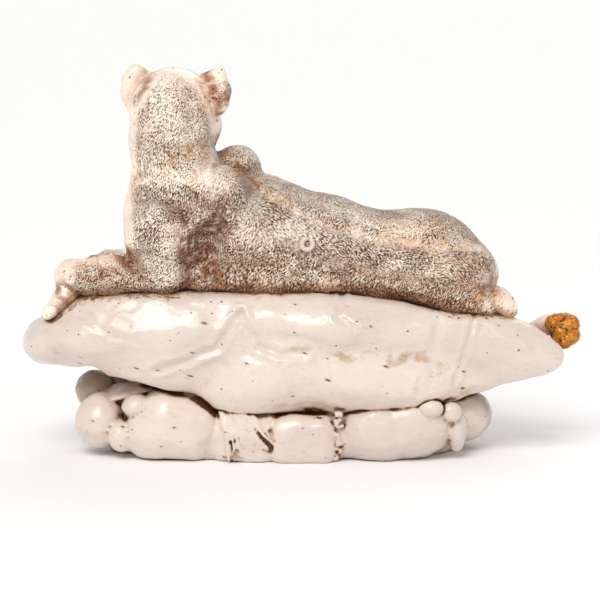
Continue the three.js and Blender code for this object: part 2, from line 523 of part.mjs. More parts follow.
// Thinning: the edge whose loss changes the surface least is closed up first, until the budget is met.
function thinned({ points, faces }, budget) {
  const at = points.map((p) => Float64Array.from(p));
  const bend = at.map(() => new Float64Array(10));
  const around = at.map(() => new Set());
  const normalOf = (a, b, c) => {
    const u = [b[0] - a[0], b[1] - a[1], b[2] - a[2]];
    const v = [c[0] - a[0], c[1] - a[1], c[2] - a[2]];
    return [u[1] * v[2] - u[2] * v[1], u[2] * v[0] - u[0] * v[2], u[0] * v[1] - u[1] * v[0]];
  };
  faces.forEach((face, f) => {
    const normal = normalOf(...face.map((v) => at[v]));
    const area = Math.hypot(...normal) || 1e-12;
    const [a, b, c] = normal.map((n) => n / area);
    const d = -(a * at[face[0]][0] + b * at[face[0]][1] + c * at[face[0]][2]);
    const terms = [a * a, a * b, a * c, a * d, b * b, b * c, b * d, c * c, c * d, d * d];
    for (const v of face) {
      around[v].add(f);
      terms.forEach((term, i) => (bend[v][i] += term * area));
    }
  });

  const cost = (q, [x, y, z]) =>
    q[0] * x * x + q[4] * y * y + q[7] * z * z + q[9] +
    2 * (q[1] * x * y + q[2] * x * z + q[5] * y * z + q[3] * x + q[6] * y + q[8] * z);
  // The place that fits both ends' planes best, or the middle of the edge where the planes leave it open.
  const bestPlace = (q, p, r) => {
    const middle = [0, 1, 2].map((i) => (p[i] + r[i]) / 2);
    const fit = new THREE.Matrix3().set(q[0], q[1], q[2], q[1], q[4], q[5], q[2], q[5], q[7]);
    const size = q[0] + q[4] + q[7];
    if (Math.abs(fit.determinant()) < 1e-4 * size ** 3) return middle;
    const place = new THREE.Vector3(-q[3], -q[6], -q[8]).applyMatrix3(fit.invert()).toArray();
    const length = Math.hypot(p[0] - r[0], p[1] - r[1], p[2] - r[2]);
    return Math.hypot(...place.map((s, i) => s - middle[i])) < length ? place : middle;
  };

  const stamp = new Uint32Array(at.length);
  const heap = [];
  const swap = (i, j) => ([heap[i], heap[j]] = [heap[j], heap[i]]);
  const push = (item) => {
    let i = heap.push(item) - 1;
    while (i > 0 && heap[(i - 1) >> 1].cost > heap[i].cost) {
      swap(i, (i - 1) >> 1);
      i = (i - 1) >> 1;
    }
  };
  const pop = () => {
    swap(0, heap.length - 1);
    const item = heap.pop();
    for (let i = 0; ; ) {
      let least = i;
      for (const child of [2 * i + 1, 2 * i + 2]) {
        if (child < heap.length && heap[child].cost < heap[least].cost) least = child;
      }
      if (least === i) return item;
      swap(i, least);
      i = least;
    }
  };
  const offer = (a, b) => {
    const sum = bend[a].map((q, i) => q + bend[b][i]);
    const place = bestPlace(sum, at[a], at[b]);
    push({ a, b, place, sum, cost: cost(sum, place), stamp: stamp[a] + stamp[b] });
  };
  const neighbours = (v) => {
    const near = new Set();
    for (const f of around[v]) for (const n of faces[f]) if (n !== v) near.add(n);
    return near;
  };
  // True where moving a corner would turn one of its other triangles over or squash it flat.
  const spoils = (v, other, place) => {
    for (const f of around[v]) {
      if (faces[f].includes(other)) continue;
      const before = normalOf(...faces[f].map((n) => at[n]));
      const after = normalOf(...faces[f].map((n) => (n === v ? place : at[n])));
      const along = before[0] * after[0] + before[1] * after[1] + before[2] * after[2];
      const size = Math.hypot(...after);
      if (size < 1e-3 || along < 0.3 * size * Math.hypot(...before)) return true;
    }
    return false;
  };

  const edges = faces.flatMap(([a, b, c]) => [[a, b], [b, c], [c, a]]);
  edges.filter(([from, to]) => from < to).forEach(([from, to]) => offer(from, to));
  let left = faces.length;
  while (left > budget && heap.length) {
    const { a, b, place, sum, stamp: given } = pop();
    if (!around[a].size || !around[b].size || given !== stamp[a] + stamp[b]) continue;
    const shared = [...neighbours(a)].filter((n) => neighbours(b).has(n));
    if (shared.length !== 2 || spoils(a, b, place) || spoils(b, a, place)) continue;
    for (const f of [...around[b]]) {
      if (faces[f].includes(a)) {
        faces[f].forEach((n) => around[n].delete(f));
        faces[f] = null;
        left -= 1;
      } else {
        faces[f] = faces[f].map((n) => (n === b ? a : n));
        around[a].add(f);
      }
    }
    around[b].clear();
    at[a].set(place);
    bend[a] = sum;
    stamp[a] = given + 1;
    for (const n of neighbours(a)) offer(a, n);
  }

  const used = new Map();
  const kept = faces.filter(Boolean);
  kept.flat().forEach((v) => used.has(v) || used.set(v, used.size));
  return {
    vertProperties: Float32Array.from([...used.keys()].flatMap((v) => [...at[v]])),
    triVerts: Uint32Array.from(kept.flat().map((v) => used.get(v))),
  };
}

// The whole casting. The cubs lie against their mother, one at her belly and one by her foreleg.
const cubs = [
  cubSteps(besideTigress(17.6, 16.2, -1), 168, -58),
  cubSteps(besideTigress(-9.66, 15.2, 0), 22, 62),
];
const groups = [tigressSteps(), ...cubs, ledgeSteps(), boulderSteps()];
const forms = groups.map(sculpture);
const skin = (x, y, z) => {
  let depth = FAR;
  for (const form of forms) depth = blended(depth, form(x, y, z), JOINT_FILLET);
  return Math.max(depth, -SUNK - z);
};
const laid = groups.flat().filter((step) => !step.carved);
const edge = (side, choose) =>
  [0, 1, 2].map((i) => choose(...laid.map((step) => step.middle[i] + side * step.span[i])) + side * CLEAR);
const low = edge(-1, Math.min);
const high = edge(1, Math.max);
low[2] = -SUNK - CLEAR;
const rough = traced(skin, low, high, LATTICE_STEP);
const cast = thinned(outerSkin(rough), FACE_BUDGET);

// The underside is cut flat where the casting stands.
const wasm = await Module();
wasm.setup();
const solid = ({ vertProperties, triVerts }) =>
  new wasm.Manifold(new wasm.Mesh({ numProp: 3, vertProperties, triVerts }));
const [groundLength, groundDepth] = [0, 1].map((i) => 2 * Math.max(high[i], -low[i]));
const groundThick = 2 * (SUNK + CLEAR);
const ground = new THREE.BoxGeometry(groundLength, groundDepth, groundThick);
ground.translate(0, 0, -groundThick / 2);
ground.deleteAttribute("normal");
ground.deleteAttribute("uv");
const groundSkin = mergeVertices(ground);
const groundBlock = solid({
  vertProperties: Float32Array.from(groundSkin.attributes.position.array),
  triVerts: Uint32Array.from(groundSkin.index.array),
});
const standing = solid(cast).subtract(groundBlock).getMesh();

const geometry = new THREE.BufferGeometry();
geometry.setAttribute("position", new THREE.BufferAttribute(standing.vertProperties, 3));
geometry.setIndex([...standing.triVerts]);
geometry.computeVertexNormals();
const lacqueredResin = new THREE.MeshStandardMaterial({ color: 0xe4dcd0, roughness: 0.35, metalness: 0 });
const casting = new THREE.Mesh(geometry, lacqueredResin);
casting.name = "tiger_statue";

const statue = new THREE.Group();
statue.add(casting);

export default statue;
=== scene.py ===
import math

import bpy
import numpy as np
from mathutils import Euler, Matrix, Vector


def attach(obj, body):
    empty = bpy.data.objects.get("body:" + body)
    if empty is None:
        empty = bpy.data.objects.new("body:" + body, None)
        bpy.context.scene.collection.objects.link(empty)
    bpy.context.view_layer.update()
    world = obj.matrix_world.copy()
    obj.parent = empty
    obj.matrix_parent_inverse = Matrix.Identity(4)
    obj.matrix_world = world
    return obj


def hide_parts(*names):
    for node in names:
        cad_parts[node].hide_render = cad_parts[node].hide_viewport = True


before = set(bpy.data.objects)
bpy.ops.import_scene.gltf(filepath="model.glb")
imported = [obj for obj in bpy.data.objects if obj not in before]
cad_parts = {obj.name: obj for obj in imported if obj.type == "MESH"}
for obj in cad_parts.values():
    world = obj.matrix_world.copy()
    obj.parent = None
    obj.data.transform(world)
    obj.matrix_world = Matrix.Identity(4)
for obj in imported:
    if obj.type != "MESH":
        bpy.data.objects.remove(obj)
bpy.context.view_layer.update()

# The photographer's table: a plain pale top that runs far out to low pale walls. The statue is seen from
# behind, nearly level, through a long lens. A wide white screen glows over the camera, and a weaker one
# behind. Soft windows stand to the left and the right.
EYE_LEVEL = math.radians(8)
EYE_DISTANCE = 1.5
FRAME_WIDTH = 0.39
SENSOR_WIDTH = 36
LOOKED_AT = Vector((0.00975, 0, 0.0987))
ROOM_GLOW = 0.56
WINDOW_TINT = (1, 0.98, 0.95)
WINDOWS_FACE = Vector((0, 0, 0.1))

eye_side = Vector((0, -math.cos(EYE_LEVEL), math.sin(EYE_LEVEL)))


def placed(name, data):
    """An object in the room that holds this camera, light or mesh."""
    thing = bpy.data.objects.new(name, data)
    bpy.context.collection.objects.link(thing)
    return thing


def aimed(thing, direction, front="-Z"):
    """Turns a thing until its front looks in a direction."""
    thing.rotation_mode = "QUATERNION"
    thing.rotation_quaternion = direction.to_track_quat(front, "Y")


camera = placed("camera", bpy.data.cameras.new("camera"))
camera.location = LOOKED_AT + eye_side * EYE_DISTANCE
aimed(camera, -eye_side)
camera.data.sensor_width = SENSOR_WIDTH
camera.data.lens = SENSOR_WIDTH * EYE_DISTANCE / FRAME_WIDTH
bpy.context.scene.camera = camera
bpy.context.scene.view_settings.view_transform = "Standard"

sky = bpy.data.worlds.new("white room")
bpy.context.scene.world = sky
sky.use_nodes = True
sky_glow = sky.node_tree.nodes["Background"].inputs
sky_glow["Color"].default_value = (1, 0.995, 0.985, 1)
sky_glow["Strength"].default_value = ROOM_GLOW


def soft_window(name, place, width, height, power):
    """A large soft light that faces the statue."""
    light = bpy.data.lights.new(name, "AREA")
    light.shape = "RECTANGLE"
    light.size = width
    light.size_y = height
    light.energy = power
    light.color = WINDOW_TINT
    window = placed(name, light)
    window.location = place
    aimed(window, WINDOWS_FACE - Vector(place))


def wide_screen(name, side, strength, spread):
    """An even light from far off on one side, as wide as a large white screen."""
    light = bpy.data.lights.new(name, "SUN")
    light.energy = strength
    light.angle = math.radians(spread)
    aimed(placed(name, light), Vector(side), "Z")


wide_screen("screen_over_the_camera", (-0.3, -1, 1.1), 1.45, 30)
wide_screen("screen_behind", (0.35, 1, 1), 0.55, 40)
soft_window("tall_window", (-0.9, -1.1, 1.0), 0.45, 0.6, 1.9)
soft_window("side_window", (1.1, -1.0, 0.9), 0.35, 0.5, 1.6)

TABLE_HALF = 80
BACKDROP_HIGH = 10
TABLE_CLEAR = 0.0002
corner_sides = ((-1, -1), (1, -1), (1, 1), (-1, 1))
table_corners = [(x * TABLE_HALF, y * TABLE_HALF, z) for z in (0, BACKDROP_HIGH) for x, y in corner_sides]
backdrop_walls = [(n, n + 4, (n + 1) % 4 + 4, (n + 1) % 4) for n in range(4)]
table_mesh = bpy.data.meshes.new("table_top")
table_mesh.from_pydata(table_corners, [], [(0, 1, 2, 3), *backdrop_walls])
table_top = placed("table_top", table_mesh)
table_top.location.z = -TABLE_CLEAR
table_paint = bpy.data.materials.new("pale table paint")
table_paint.use_nodes = True
table_shader = table_paint.node_tree.nodes["Principled BSDF"]
table_shader.inputs["Base Color"].default_value = (0.97, 0.97, 0.965, 1)
table_shader.inputs["Roughness"].default_value = 0.9
table_mesh.materials.append(table_paint)

# The boulders: a ring of worn stones that the ledge rests on, with pebbles wedged between them. They are
# part of the one resin casting: modelled in clay, cast hollow, sprayed cream and lacquered to a gloss.
MM = 0.001
CLAY_STEP = 1.3
WASH_STEP = 2.2
REACH_OF_A_TOUCH = 14
FAR_FROM_CLAY = 50.0
SETTLING_STEPS = 3
LONGEST_MOVE = 0.4
CELL_EDGE = 0.02
JUST_OVER_ONE = 1.001
CORNERS = [(i, j, k) for i in (0, 1) for j in (0, 1) for k in (0, 1)]


def blended(a, b, soft):
    """The nearer of two skins, with a soft fillet where they meet."""
    near = np.maximum(soft - np.abs(a - b), 0)
    return np.minimum(a, b) - near * near / (4 * soft)


def egg(middle, half, lean=(0, 0, 0)):
    """An egg-shaped lump with three half widths in millimetres, leant by angles in degrees."""
    turn = np.array(Euler([math.radians(a) for a in lean]).to_matrix())

    def depth(*point):
        offset = [p - m for p, m in zip(point, middle)]
        u, v, w = (sum(turn[j, i] * offset[j] for j in range(3)) / half[i] for i in range(3))
        share = np.sqrt(u * u + v * v + w * w) + 1e-9
        slope = np.sqrt((u / half[0]) ** 2 + (v / half[1]) ** 2 + (w / half[2]) ** 2) + 1e-9
        return share * (share - 1) / slope

    return middle, max(half), depth


def worn_block(middle, half, worn, lean=(0, 0, 0)):
    """A block with its edges worn round to a radius."""
    turn = np.array(Euler([math.radians(a) for a in lean]).to_matrix())
    edge = min(worn, *half)

    def depth(*point):
        offset = [p - m for p, m in zip(point, middle)]
        sides = [abs(sum(turn[j, i] * offset[j] for j in range(3))) - half[i] + edge for i in range(3)]
        out = np.sqrt(sum(np.maximum(s, 0) ** 2 for s in sides))
        return out + np.minimum(np.maximum(np.maximum(*sides[:2]), sides[2]), 0) - edge

    return middle, math.hypot(*half), depth


def roll(start, end, thick_start, thick_end):
    """A tapered roll of clay with round ends."""
    start, end = np.array(start, float), np.array(end, float)
    along = end - start
    square = along @ along or 1

    def depth(*point):
        offset = [p - s for p, s in zip(point, start)]
        share = np.clip(sum(o * a for o, a in zip(offset, along)) / square, 0, 1)
        off = np.sqrt(sum((o - share * a) ** 2 for o, a in zip(offset, along)))
        return off - (thick_start + share * (thick_end - thick_start))

    return (start + end) / 2, math.sqrt(square) / 2 + max(thick_start, thick_end), depth


def bent_roll(places, thicks):
    """Rolls of clay end to end through several places."""
    return [roll(*ends, *girths) for ends, girths in zip(zip(places, places[1:]), zip(thicks, thicks[1:]))]


class Clay:
    """Clay on a lattice of points. It holds each point's distance from the skin, negative inside, in mm."""

    def __init__(self, low, high, step):
        self.low = np.array(low, float)
        self.step = step
        self.count = np.ceil((np.array(high) - self.low) / step).astype(int) + 1
        self.depth = np.full(self.count, FAR_FROM_CLAY, np.float32)

    def touched(self, lump, soft):
        """The part of the lattice that a lump can touch, and the lump's distances there."""
        middle, reach, depth = lump
        span = reach + soft + REACH_OF_A_TOUCH
        start = np.clip(np.floor((middle - span - self.low) / self.step), 0, self.count).astype(int)
        end = np.clip(np.ceil((middle + span - self.low) / self.step) + 1, 0, self.count).astype(int)
        x, y, z = (low + self.step * np.arange(s, e) for low, s, e in zip(self.low, start, end))
        part = tuple(slice(s, e) for s, e in zip(start, end))
        return part, depth(x[:, None, None], y[None, :, None], z[None, None, :])

    def model(self, steps):
        """Lays lumps on, or scoops them out, step by step."""
        for how, soft, lumps in steps:
            for lump in lumps:
                part, new = self.touched(lump, soft)
                old = self.depth[part]
                self.depth[part] = blended(old, new, soft) if how == "lay" else -blended(-old, new, soft)
        return self

    def at(self, points):
        """The distance to the skin at any points."""
        place = np.clip((points - self.low) / self.step, 0, self.count - JUST_OVER_ONE)
        cell = place.astype(int)
        share = place - cell
        total = 0
        for corner in CORNERS:
            weight = np.prod([abs(1 - n - s) for n, s in zip(corner, share.T)], axis=0)
            total = total + weight * self.depth[tuple((cell + corner).T)]
        return total

    def skin(self):
        """The points and four-sided faces of the clay's outer skin."""
        d = self.depth
        nx, ny, nz = (n - 1 for n in d.shape)
        solid = d < 0
        filled = sum(solid[i : nx + i, j : ny + j, k : nz + k].astype(np.int8) for i, j, k in CORNERS)
        mixed = (filled > 0) & (filled < 8)
        number = np.full(mixed.shape, -1)
        number[mixed] = np.arange(mixed.sum())
        around = [d[i : nx + i, j : ny + j, k : nz + k][mixed] for i, j, k in CORNERS]
        corner = np.stack(around, 1).astype(float)

        place = np.zeros((len(corner), 3))
        hits = np.zeros((len(corner), 1))
        for a, start in enumerate(CORNERS):
            for axis, bit in enumerate((4, 2, 1)):
                if a & bit:
                    continue
                ca, cb = corner[:, a], corner[:, a | bit]
                crossed = (ca < 0) != (cb < 0)
                point = np.tile(np.array(start, float), (crossed.sum(), 1))
                point[:, axis] += (ca / (ca - cb + 1e-12))[crossed]
                place[crossed] += point
                hits[crossed] += 1
        place /= hits
        for _ in range(SETTLING_STEPS):
            sides = np.stack([1 - place, place], 2)
            value, slope = 0, np.zeros_like(place)
            for a, (i, j, k) in enumerate(CORNERS):
                wx, wy, wz = sides[:, 0, i], sides[:, 1, j], sides[:, 2, k]
                value = value + corner[:, a] * wx * wy * wz
                slope[:, 0] += corner[:, a] * (2 * i - 1) * wy * wz
                slope[:, 1] += corner[:, a] * wx * (2 * j - 1) * wz
                slope[:, 2] += corner[:, a] * wx * wy * (2 * k - 1)
            move = value[:, None] * slope / ((slope**2).sum(1, keepdims=True) + 1e-9)
            move = np.clip(move, -LONGEST_MOVE, LONGEST_MOVE)
            place = np.clip(place - move, CELL_EDGE, 1 - CELL_EDGE)
        points = self.low + self.step * (np.argwhere(mixed) + place)

        faces = []
        for axis in range(3):
            order = (axis, (axis + 1) % 3, (axis + 2) % 3)
            s, n = solid.transpose(order), number.transpose(order)
            i, j, k = np.nonzero(s[:-1, 1:-1, 1:-1] != s[1:, 1:-1, 1:-1])
            ring = np.stack([n[i, j, k], n[i, j + 1, k], n[i, j + 1, k + 1], n[i, j, k + 1]], 1)
            turned = ~s[i, j + 1, k + 1]
            ring[turned] = ring[turned, ::-1]
            faces.append(ring)
        faces = np.concatenate(faces)

        label = np.arange(len(points))
        settled = False
        while not settled:
            least = label[faces].min(1)
            new = label.copy()
            for c in range(4):
                np.minimum.at(new, label[faces[:, c]], least)
            new = new[new]
            settled = (new == label).all()
            label = new
        names, counts = np.unique(label, return_counts=True)
        outer = label == names[counts.argmax()]
        renumber = np.cumsum(outer) - 1
        return points[outer], renumber[faces[outer[faces[:, 0]]]]


CELL_STEPS = (374761393, 668265263, 974634777)
SEED_STEP = 7919
SCRAMBLE = 1274126177


def scrambled(cells, seed=0):
    """A large whole number for each cell, with no pattern from one cell to the next."""
    n = cells @ CELL_STEPS + seed * SEED_STEP
    return (n ^ (n >> 13)) * SCRAMBLE


def grain(points, size, seed):
    """Smooth random relief from -1 to 1, in lumps of about that size in millimetres."""
    place = points / np.array(size, float) + 31.7 * seed
    cell = np.floor(place).astype(np.int64)
    share = place - cell
    share = share * share * share * (share * (share * 6 - 15) + 10)
    total = 0
    for corner in CORNERS:
        n = scrambled(cell + corner)
        value = ((n ^ (n >> 16)) & 0xFFFF) / 32767.5 - 1
        weight = np.prod([abs(1 - m - s) for m, s in zip(corner, share.T)], axis=0)
        total = total + weight * value
    return total


def outward(points, faces):
    """The direction that the skin faces at each point."""
    a, b, c, d = (points[faces[:, n]] for n in range(4))
    across = np.cross(c - a, d - b)
    total = np.zeros_like(points)
    for n in range(4):
        np.add.at(total, faces[:, n], across)
    return total / (np.linalg.norm(total, axis=1, keepdims=True) + 1e-12)


def fade(low, high, value):
    """Rises smoothly from 0 at low to 1 at high."""
    share = np.clip((value - low) / (high - low), 0, 1)
    return share * share * (3 - 2 * share)


def tone(*srgb):
    """An sRGB tone from 0 to 255 as the linear colour that a shader takes."""
    share = [c / 255 for c in srgb]
    return (*[c / 12.92 if c < 0.04045 else ((c + 0.055) / 1.055) ** 2.4 for c in share], 1)


class Finish:
    """A finish painted on in layers of node textures. Sizes are in millimetres and tones are sRGB."""

    def __init__(self, name):
        self.material = bpy.data.materials.new(name)
        self.material.use_nodes = True
        self.tree = self.material.node_tree
        self.shader = self.tree.nodes["Principled BSDF"]
        self.place = self.node("TexCoord").outputs["Object"]
        self.painted = None

    def feed(self, socket, value):
        if isinstance(value, bpy.types.NodeSocket):
            self.tree.links.new(value, socket)
        else:
            socket.default_value = value

    def node(self, kind, fed=(), **settings):
        made = self.tree.nodes.new("ShaderNode" + kind)
        for key, value in settings.items():
            setattr(made, key, value)
        for socket, value in dict(fed).items():
            self.feed(made.inputs[socket], value)
        return made

    def noted(self, name, output="Fac"):
        """A value that was noted at each point of the mesh."""
        return self.node("Attribute", attribute_name=name, attribute_type="GEOMETRY").outputs[output]

    def stretched(self, size, lean=(0, 0, 0), shift=0.0):
        """The place on the piece, leant by angles in degrees and counted in strokes of this size."""
        fed = {
            "Vector": self.place,
            "Location": (shift, shift, shift),
            "Rotation": [math.radians(a) for a in lean],
            "Scale": [s * MM for s in size],
        }
        return self.node("Mapping", fed, vector_type="TEXTURE").outputs["Vector"]

    def clouds(self, size, detail=2.0, lean=(0, 0, 0), shift=0.0):
        fed = {"Vector": self.stretched(size, lean, shift), "Scale": 1.0, "Detail": detail}
        return self.node("TexNoise", fed).outputs["Fac"]

    def flecks(self, size, rare, spread, wander=0.0, lean=(0, 0, 0), shift=0.0):
        """How far each place is from its nearest fleck, less that fleck's own size, which is random."""
        made = self.node("TexVoronoi", {"Vector": self.stretched(size, lean, shift), "Scale": 1.0})
        chance = self.node("SeparateColor", {"Color": made.outputs["Color"]}).outputs["Red"]
        fleck_size = self.times(self.less(chance, rare), spread)
        return self.less(self.plus(made.outputs["Distance"], wander), fleck_size)

    def between(self, value, low, high):
        """0 at low and 1 at high, smoothly."""
        fed = {"Value": value, "From Min": low, "From Max": high}
        return self.node("MapRange", fed, interpolation_type="SMOOTHSTEP").outputs["Result"]

    def reckon(self, how, a, b):
        return self.node("Math", {0: a, 1: b}, operation=how).outputs[0]

    def times(self, a, b):
        return self.reckon("MULTIPLY", a, b)

    def plus(self, a, b):
        return self.reckon("ADD", a, b)

    def less(self, a, b):
        return self.reckon("SUBTRACT", a, b)

    def over(self, share, under, upper):
        """A tone laid over another by a share of the way."""
        fed = {"Fac": share, "Color1": under, "Color2": upper}
        return self.node("MixRGB", fed).outputs["Color"]

    def ground(self, drift, light, dark):
        """The first coat, which drifts between two tones."""
        self.painted = self.over(drift, tone(*light), tone(*dark))

    def wash(self, share, *srgb):
        """Lays a tone over all that is painted so far, by a share of the way."""
        self.painted = self.over(share, self.painted, tone(*srgb))

    def shade(self, sockets):
        """Gives the shader its layers, and the values that are the same all over."""
        for socket, value in sockets.items():
            self.feed(self.shader.inputs[socket], value)

    def relief(self, height, depth):
        """Cut or raised relief of this depth, seen in the light only."""
        fed = {"Height": height, "Distance": depth * MM, "Strength": 1.0}
        self.shade({"Normal": self.node("Bump", fed).outputs["Normal"]})


cast_pieces = {}
whole = Clay((-190, -80, -6), (210, 100, 266), WASH_STEP)


def cast(name, clay, relief, material):
    """Casts the clay in resin: its skin, with fine relief in millimetres, as a mesh in the frame."""
    smooth, faces = clay.skin()
    points = smooth + outward(smooth, faces) * relief(smooth)[:, None]
    points[:, 2] = np.maximum(points[:, 2], 0)
    mesh = bpy.data.meshes.new(name)
    mesh.from_pydata(points * MM, [], faces)
    mesh.shade_smooth()
    mesh.materials.append(material)
    piece = placed(name, mesh)
    cast_pieces[name] = (piece, smooth, outward(smooth, faces))
    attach(piece, "root")
    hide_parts("tiger_statue")
    return piece


def note(mesh, name, values):
    """Notes a number, or three, at each point of a mesh for its finish to read."""
    kind = "FLOAT" if values.ndim == 1 else "FLOAT_VECTOR"
    layer = mesh.attributes.new(name, kind, "POINT")
    layer.data.foreach_set("value" if values.ndim == 1 else "vector", values.astype(np.float32).ravel())


lacquer = Finish("cream lacquer on rock")
lacquer.ground(lacquer.between(lacquer.clouds((70, 70, 40)), 0.4, 0.62), (229, 213, 200), (219, 201, 191))
smears = lacquer.times(
    lacquer.between(lacquer.clouds((7, 6, 2.2), 6.0, (0, 8, 0)), 0.52, 0.76),
    lacquer.between(lacquer.clouds((40, 40, 26), 1.0, shift=0.5), 0.4, 0.62),
)
lacquer.wash(lacquer.times(smears, 0.2), 166, 146, 136)
wiped = lacquer.plus(lacquer.between(lacquer.clouds((16, 16, 9), 2.0, shift=0.4), 0.34, 0.62), 0.4)
crevice = lacquer.times(lacquer.noted("crevice"), wiped)
crevice_edge = lacquer.times(crevice, lacquer.plus(lacquer.clouds((5, 5, 4), 4.0), 0.4))
lacquer.wash(lacquer.times(lacquer.between(crevice_edge, 0.2, 0.46), 0.72), 184, 144, 102)
lacquer.wash(lacquer.between(crevice_edge, 0.36, 0.72), 88, 52, 30)
# Painted shade: the low stones in the middle of the ring, under the ledge, are browned as if in shade.
lacquer.wash(lacquer.times(lacquer.noted("shade_under_ledge"), 0.62), 128, 98, 74)

shelf = lacquer.noted("shelf")
gritty = lacquer.plus(lacquer.clouds((3.4, 3, 1.8), 5.0), lacquer.times(shelf, 0.26))
grit = lacquer.between(gritty, 0.62, 0.82)
lacquer.wash(lacquer.times(shelf, 0.45), 222, 190, 150)
grit_share = lacquer.times(lacquer.between(shelf, 0.1, 0.6), lacquer.times(wiped, 0.7))
lacquer.wash(lacquer.times(grit, grit_share), 112, 70, 40)

wander = lacquer.times(lacquer.clouds((2.2, 2, 1.6), 2.0), 0.16)
pits = lacquer.between(lacquer.flecks((6.5, 6.5, 5), 0.55, 0.3, wander), 0.1, 0.05)
dash_edge = lacquer.flecks((17, 11, 6), 0.5, 0.28, wander, (0, 14, 0), 0.3)
marks = lacquer.reckon("MAXIMUM", pits, lacquer.between(dash_edge, 0.1, 0.04))
lacquer.wash(lacquer.times(lacquer.between(dash_edge, 0.22, 0.08), 0.3), 196, 158, 112)
lacquer.wash(lacquer.times(marks, 0.85), 98, 62, 40)
lacquer.shade({"Base Color": lacquer.painted, "Roughness": 0.3, "Coat Weight": 0.4, "Coat Roughness": 0.16})
tooth = lacquer.times(lacquer.clouds((6, 5, 3), 3.0), 0.5)
lacquer.relief(lacquer.less(tooth, lacquer.times(lacquer.plus(marks, grit), 0.8)), 0.5)


def dishes(points, size, seed):
    """Shallow dishes of about this size in millimetres: 0 in the middle, up to 1 on the ridges between."""
    place = points / np.array(size, float)
    cell = np.floor(place).astype(np.int64)
    nearest = np.ones(len(points))
    for neighbour in np.ndindex(3, 3, 3):
        other = cell + neighbour - 1
        n = scrambled(other, seed)
        stray = np.stack([(n >> bits) & 255 for bits in (8, 16, 24)], 1) / 255
        nearest = np.minimum(nearest, ((place - other - stray) ** 2).sum(1))
    return nearest


def rock_relief(points):
    """Slow swells, dishes where a thumb pressed the clay, and a fine tooth that the knife left."""
    swells = 0.8 * grain(points, 30, 1) + 0.4 * grain(points, 13, 2)
    pressed = 1.5 * dishes(points, (26, 22, 17), 4) + 0.75 * dishes(points, (11, 10, 8), 5) - 1
    return swells + pressed + 0.2 * grain(points, (8, 6, 5), 3) + 0.07 * grain(points, (4, 3, 2.4), 12)


# Half the ring's length, half its depth, and its height.
RING = np.array((133, 56, 42))
RING_MIDDLE = np.array((-2, 0, 0))


def in_ring(*share):
    return RING_MIDDLE + share * RING


def stone(place, half, lean=(0, 0, 0)):
    return egg(in_ring(*place), half * RING, lean)


def cobble(place, half, worn, lean=(0, 0, 0)):
    return worn_block(in_ring(*place), half * RING, worn * RING[2], lean)


stones = [
    stone((-0.885, -0.27, 0.52), (0.125, 0.36, 0.45)),
    stone((-0.93, 0.27, 0.88), (0.105, 0.3, 0.31), (0, 12, 0)),
    stone((-0.81, 0.45, 0.98), (0.065, 0.2, 0.2)),
    stone((-0.76, 0.02, 0.92), (0.21, 0.44, 0.12), (0, -12, 0)),
    stone((-0.775, -0.5, 0.35), (0.072, 0.22, 0.27)),
    stone((-0.7, -0.5, 0.8), (0.07, 0.2, 0.2)),
    cobble((-0.5, -0.43, 0.5), (0.21, 0.43, 0.55), 0.5, (0, 5, 4)),
    stone((-0.58, -0.42, 0.44), (0.2, 0.45, 0.5), (0, -14, 0)),
    cobble((0.1, -0.4, 0.34), (0.165, 0.44, 0.4), 0.24, (3, -1, 0)),
    stone((0.48, -0.42, 0.47), (0.25, 0.46, 0.57), (0, -6, 0)),
    stone((0.6, -0.42, 0.52), (0.25, 0.45, 0.56), (0, 2, 0)),
    stone((0.71, -0.75, 0.84), (0.056, 0.12, 0.14)),
    stone((0.815, -0.66, 0.76), (0.05, 0.12, 0.16)),
    stone((0.845, -0.5, 0.42), (0.055, 0.22, 0.32)),
    stone((0.84, 0.14, 0.52), (0.2, 0.54, 0.46)),
    cobble((-0.6, 0.5, 0.46), (0.25, 0.42, 0.5), 0.44, (0, 4, -10)),
    stone((-0.28, 0.74, 0.28), (0.13, 0.28, 0.36)),
    cobble((-0.03, 0.56, 0.42), (0.2, 0.42, 0.46), 0.4, (0, -4, 4)),
    stone((0.21, 0.74, 0.34), (0.1, 0.26, 0.32)),
    cobble((0.46, 0.54, 0.44), (0.22, 0.42, 0.5), 0.44, (0, 4, 8)),
    stone((0.22, 0.8, 0.86), (0.07, 0.15, 0.16)),
    stone((-0.34, 0.76, 0.8), (0.08, 0.17, 0.18)),
]
root_core = cobble((-0.17, -0.38, 0.38), (0.17, 0.42, 0.52), 0.34, (0, 10, 0))
packing = cobble((0.02, -0.36, 0.36), (0.76, 0.38, 0.4), 0.4)
ring_core = stone((0, 0, 0.1), (0.86, 0.6, 0.86))

ROOTS = 24
ROOT_BENDS = np.linspace(0, 1, 5)
root_draw = np.random.default_rng(11)
roots = []
for root in range(ROOTS):
    share = root / (ROOTS - 1)
    start = in_ring(-0.3 + 0.13 * share, -0.72 - 0.03 * (root % 2), 0.8 + 0.1 * share)
    end = in_ring(-0.25 + 0.23 * share, -0.79 + 0.03 * (root % 3), -0.04 + 0.36 * share**1.4)
    bulge = np.array((1.5 - 3 * share, -3, 2 - 2 * share))
    bends = zip(ROOT_BENDS, root_draw.normal(0, 0.6, (len(ROOT_BENDS), 3)))
    places = [start + (end - start) * t + bulge * math.sin(math.pi * t) + stray for t, stray in bends]
    roots += bent_roll(places, root_draw.uniform(1.2, 2.2) * np.array((1, 1, 1, 0.9, 0.7)))

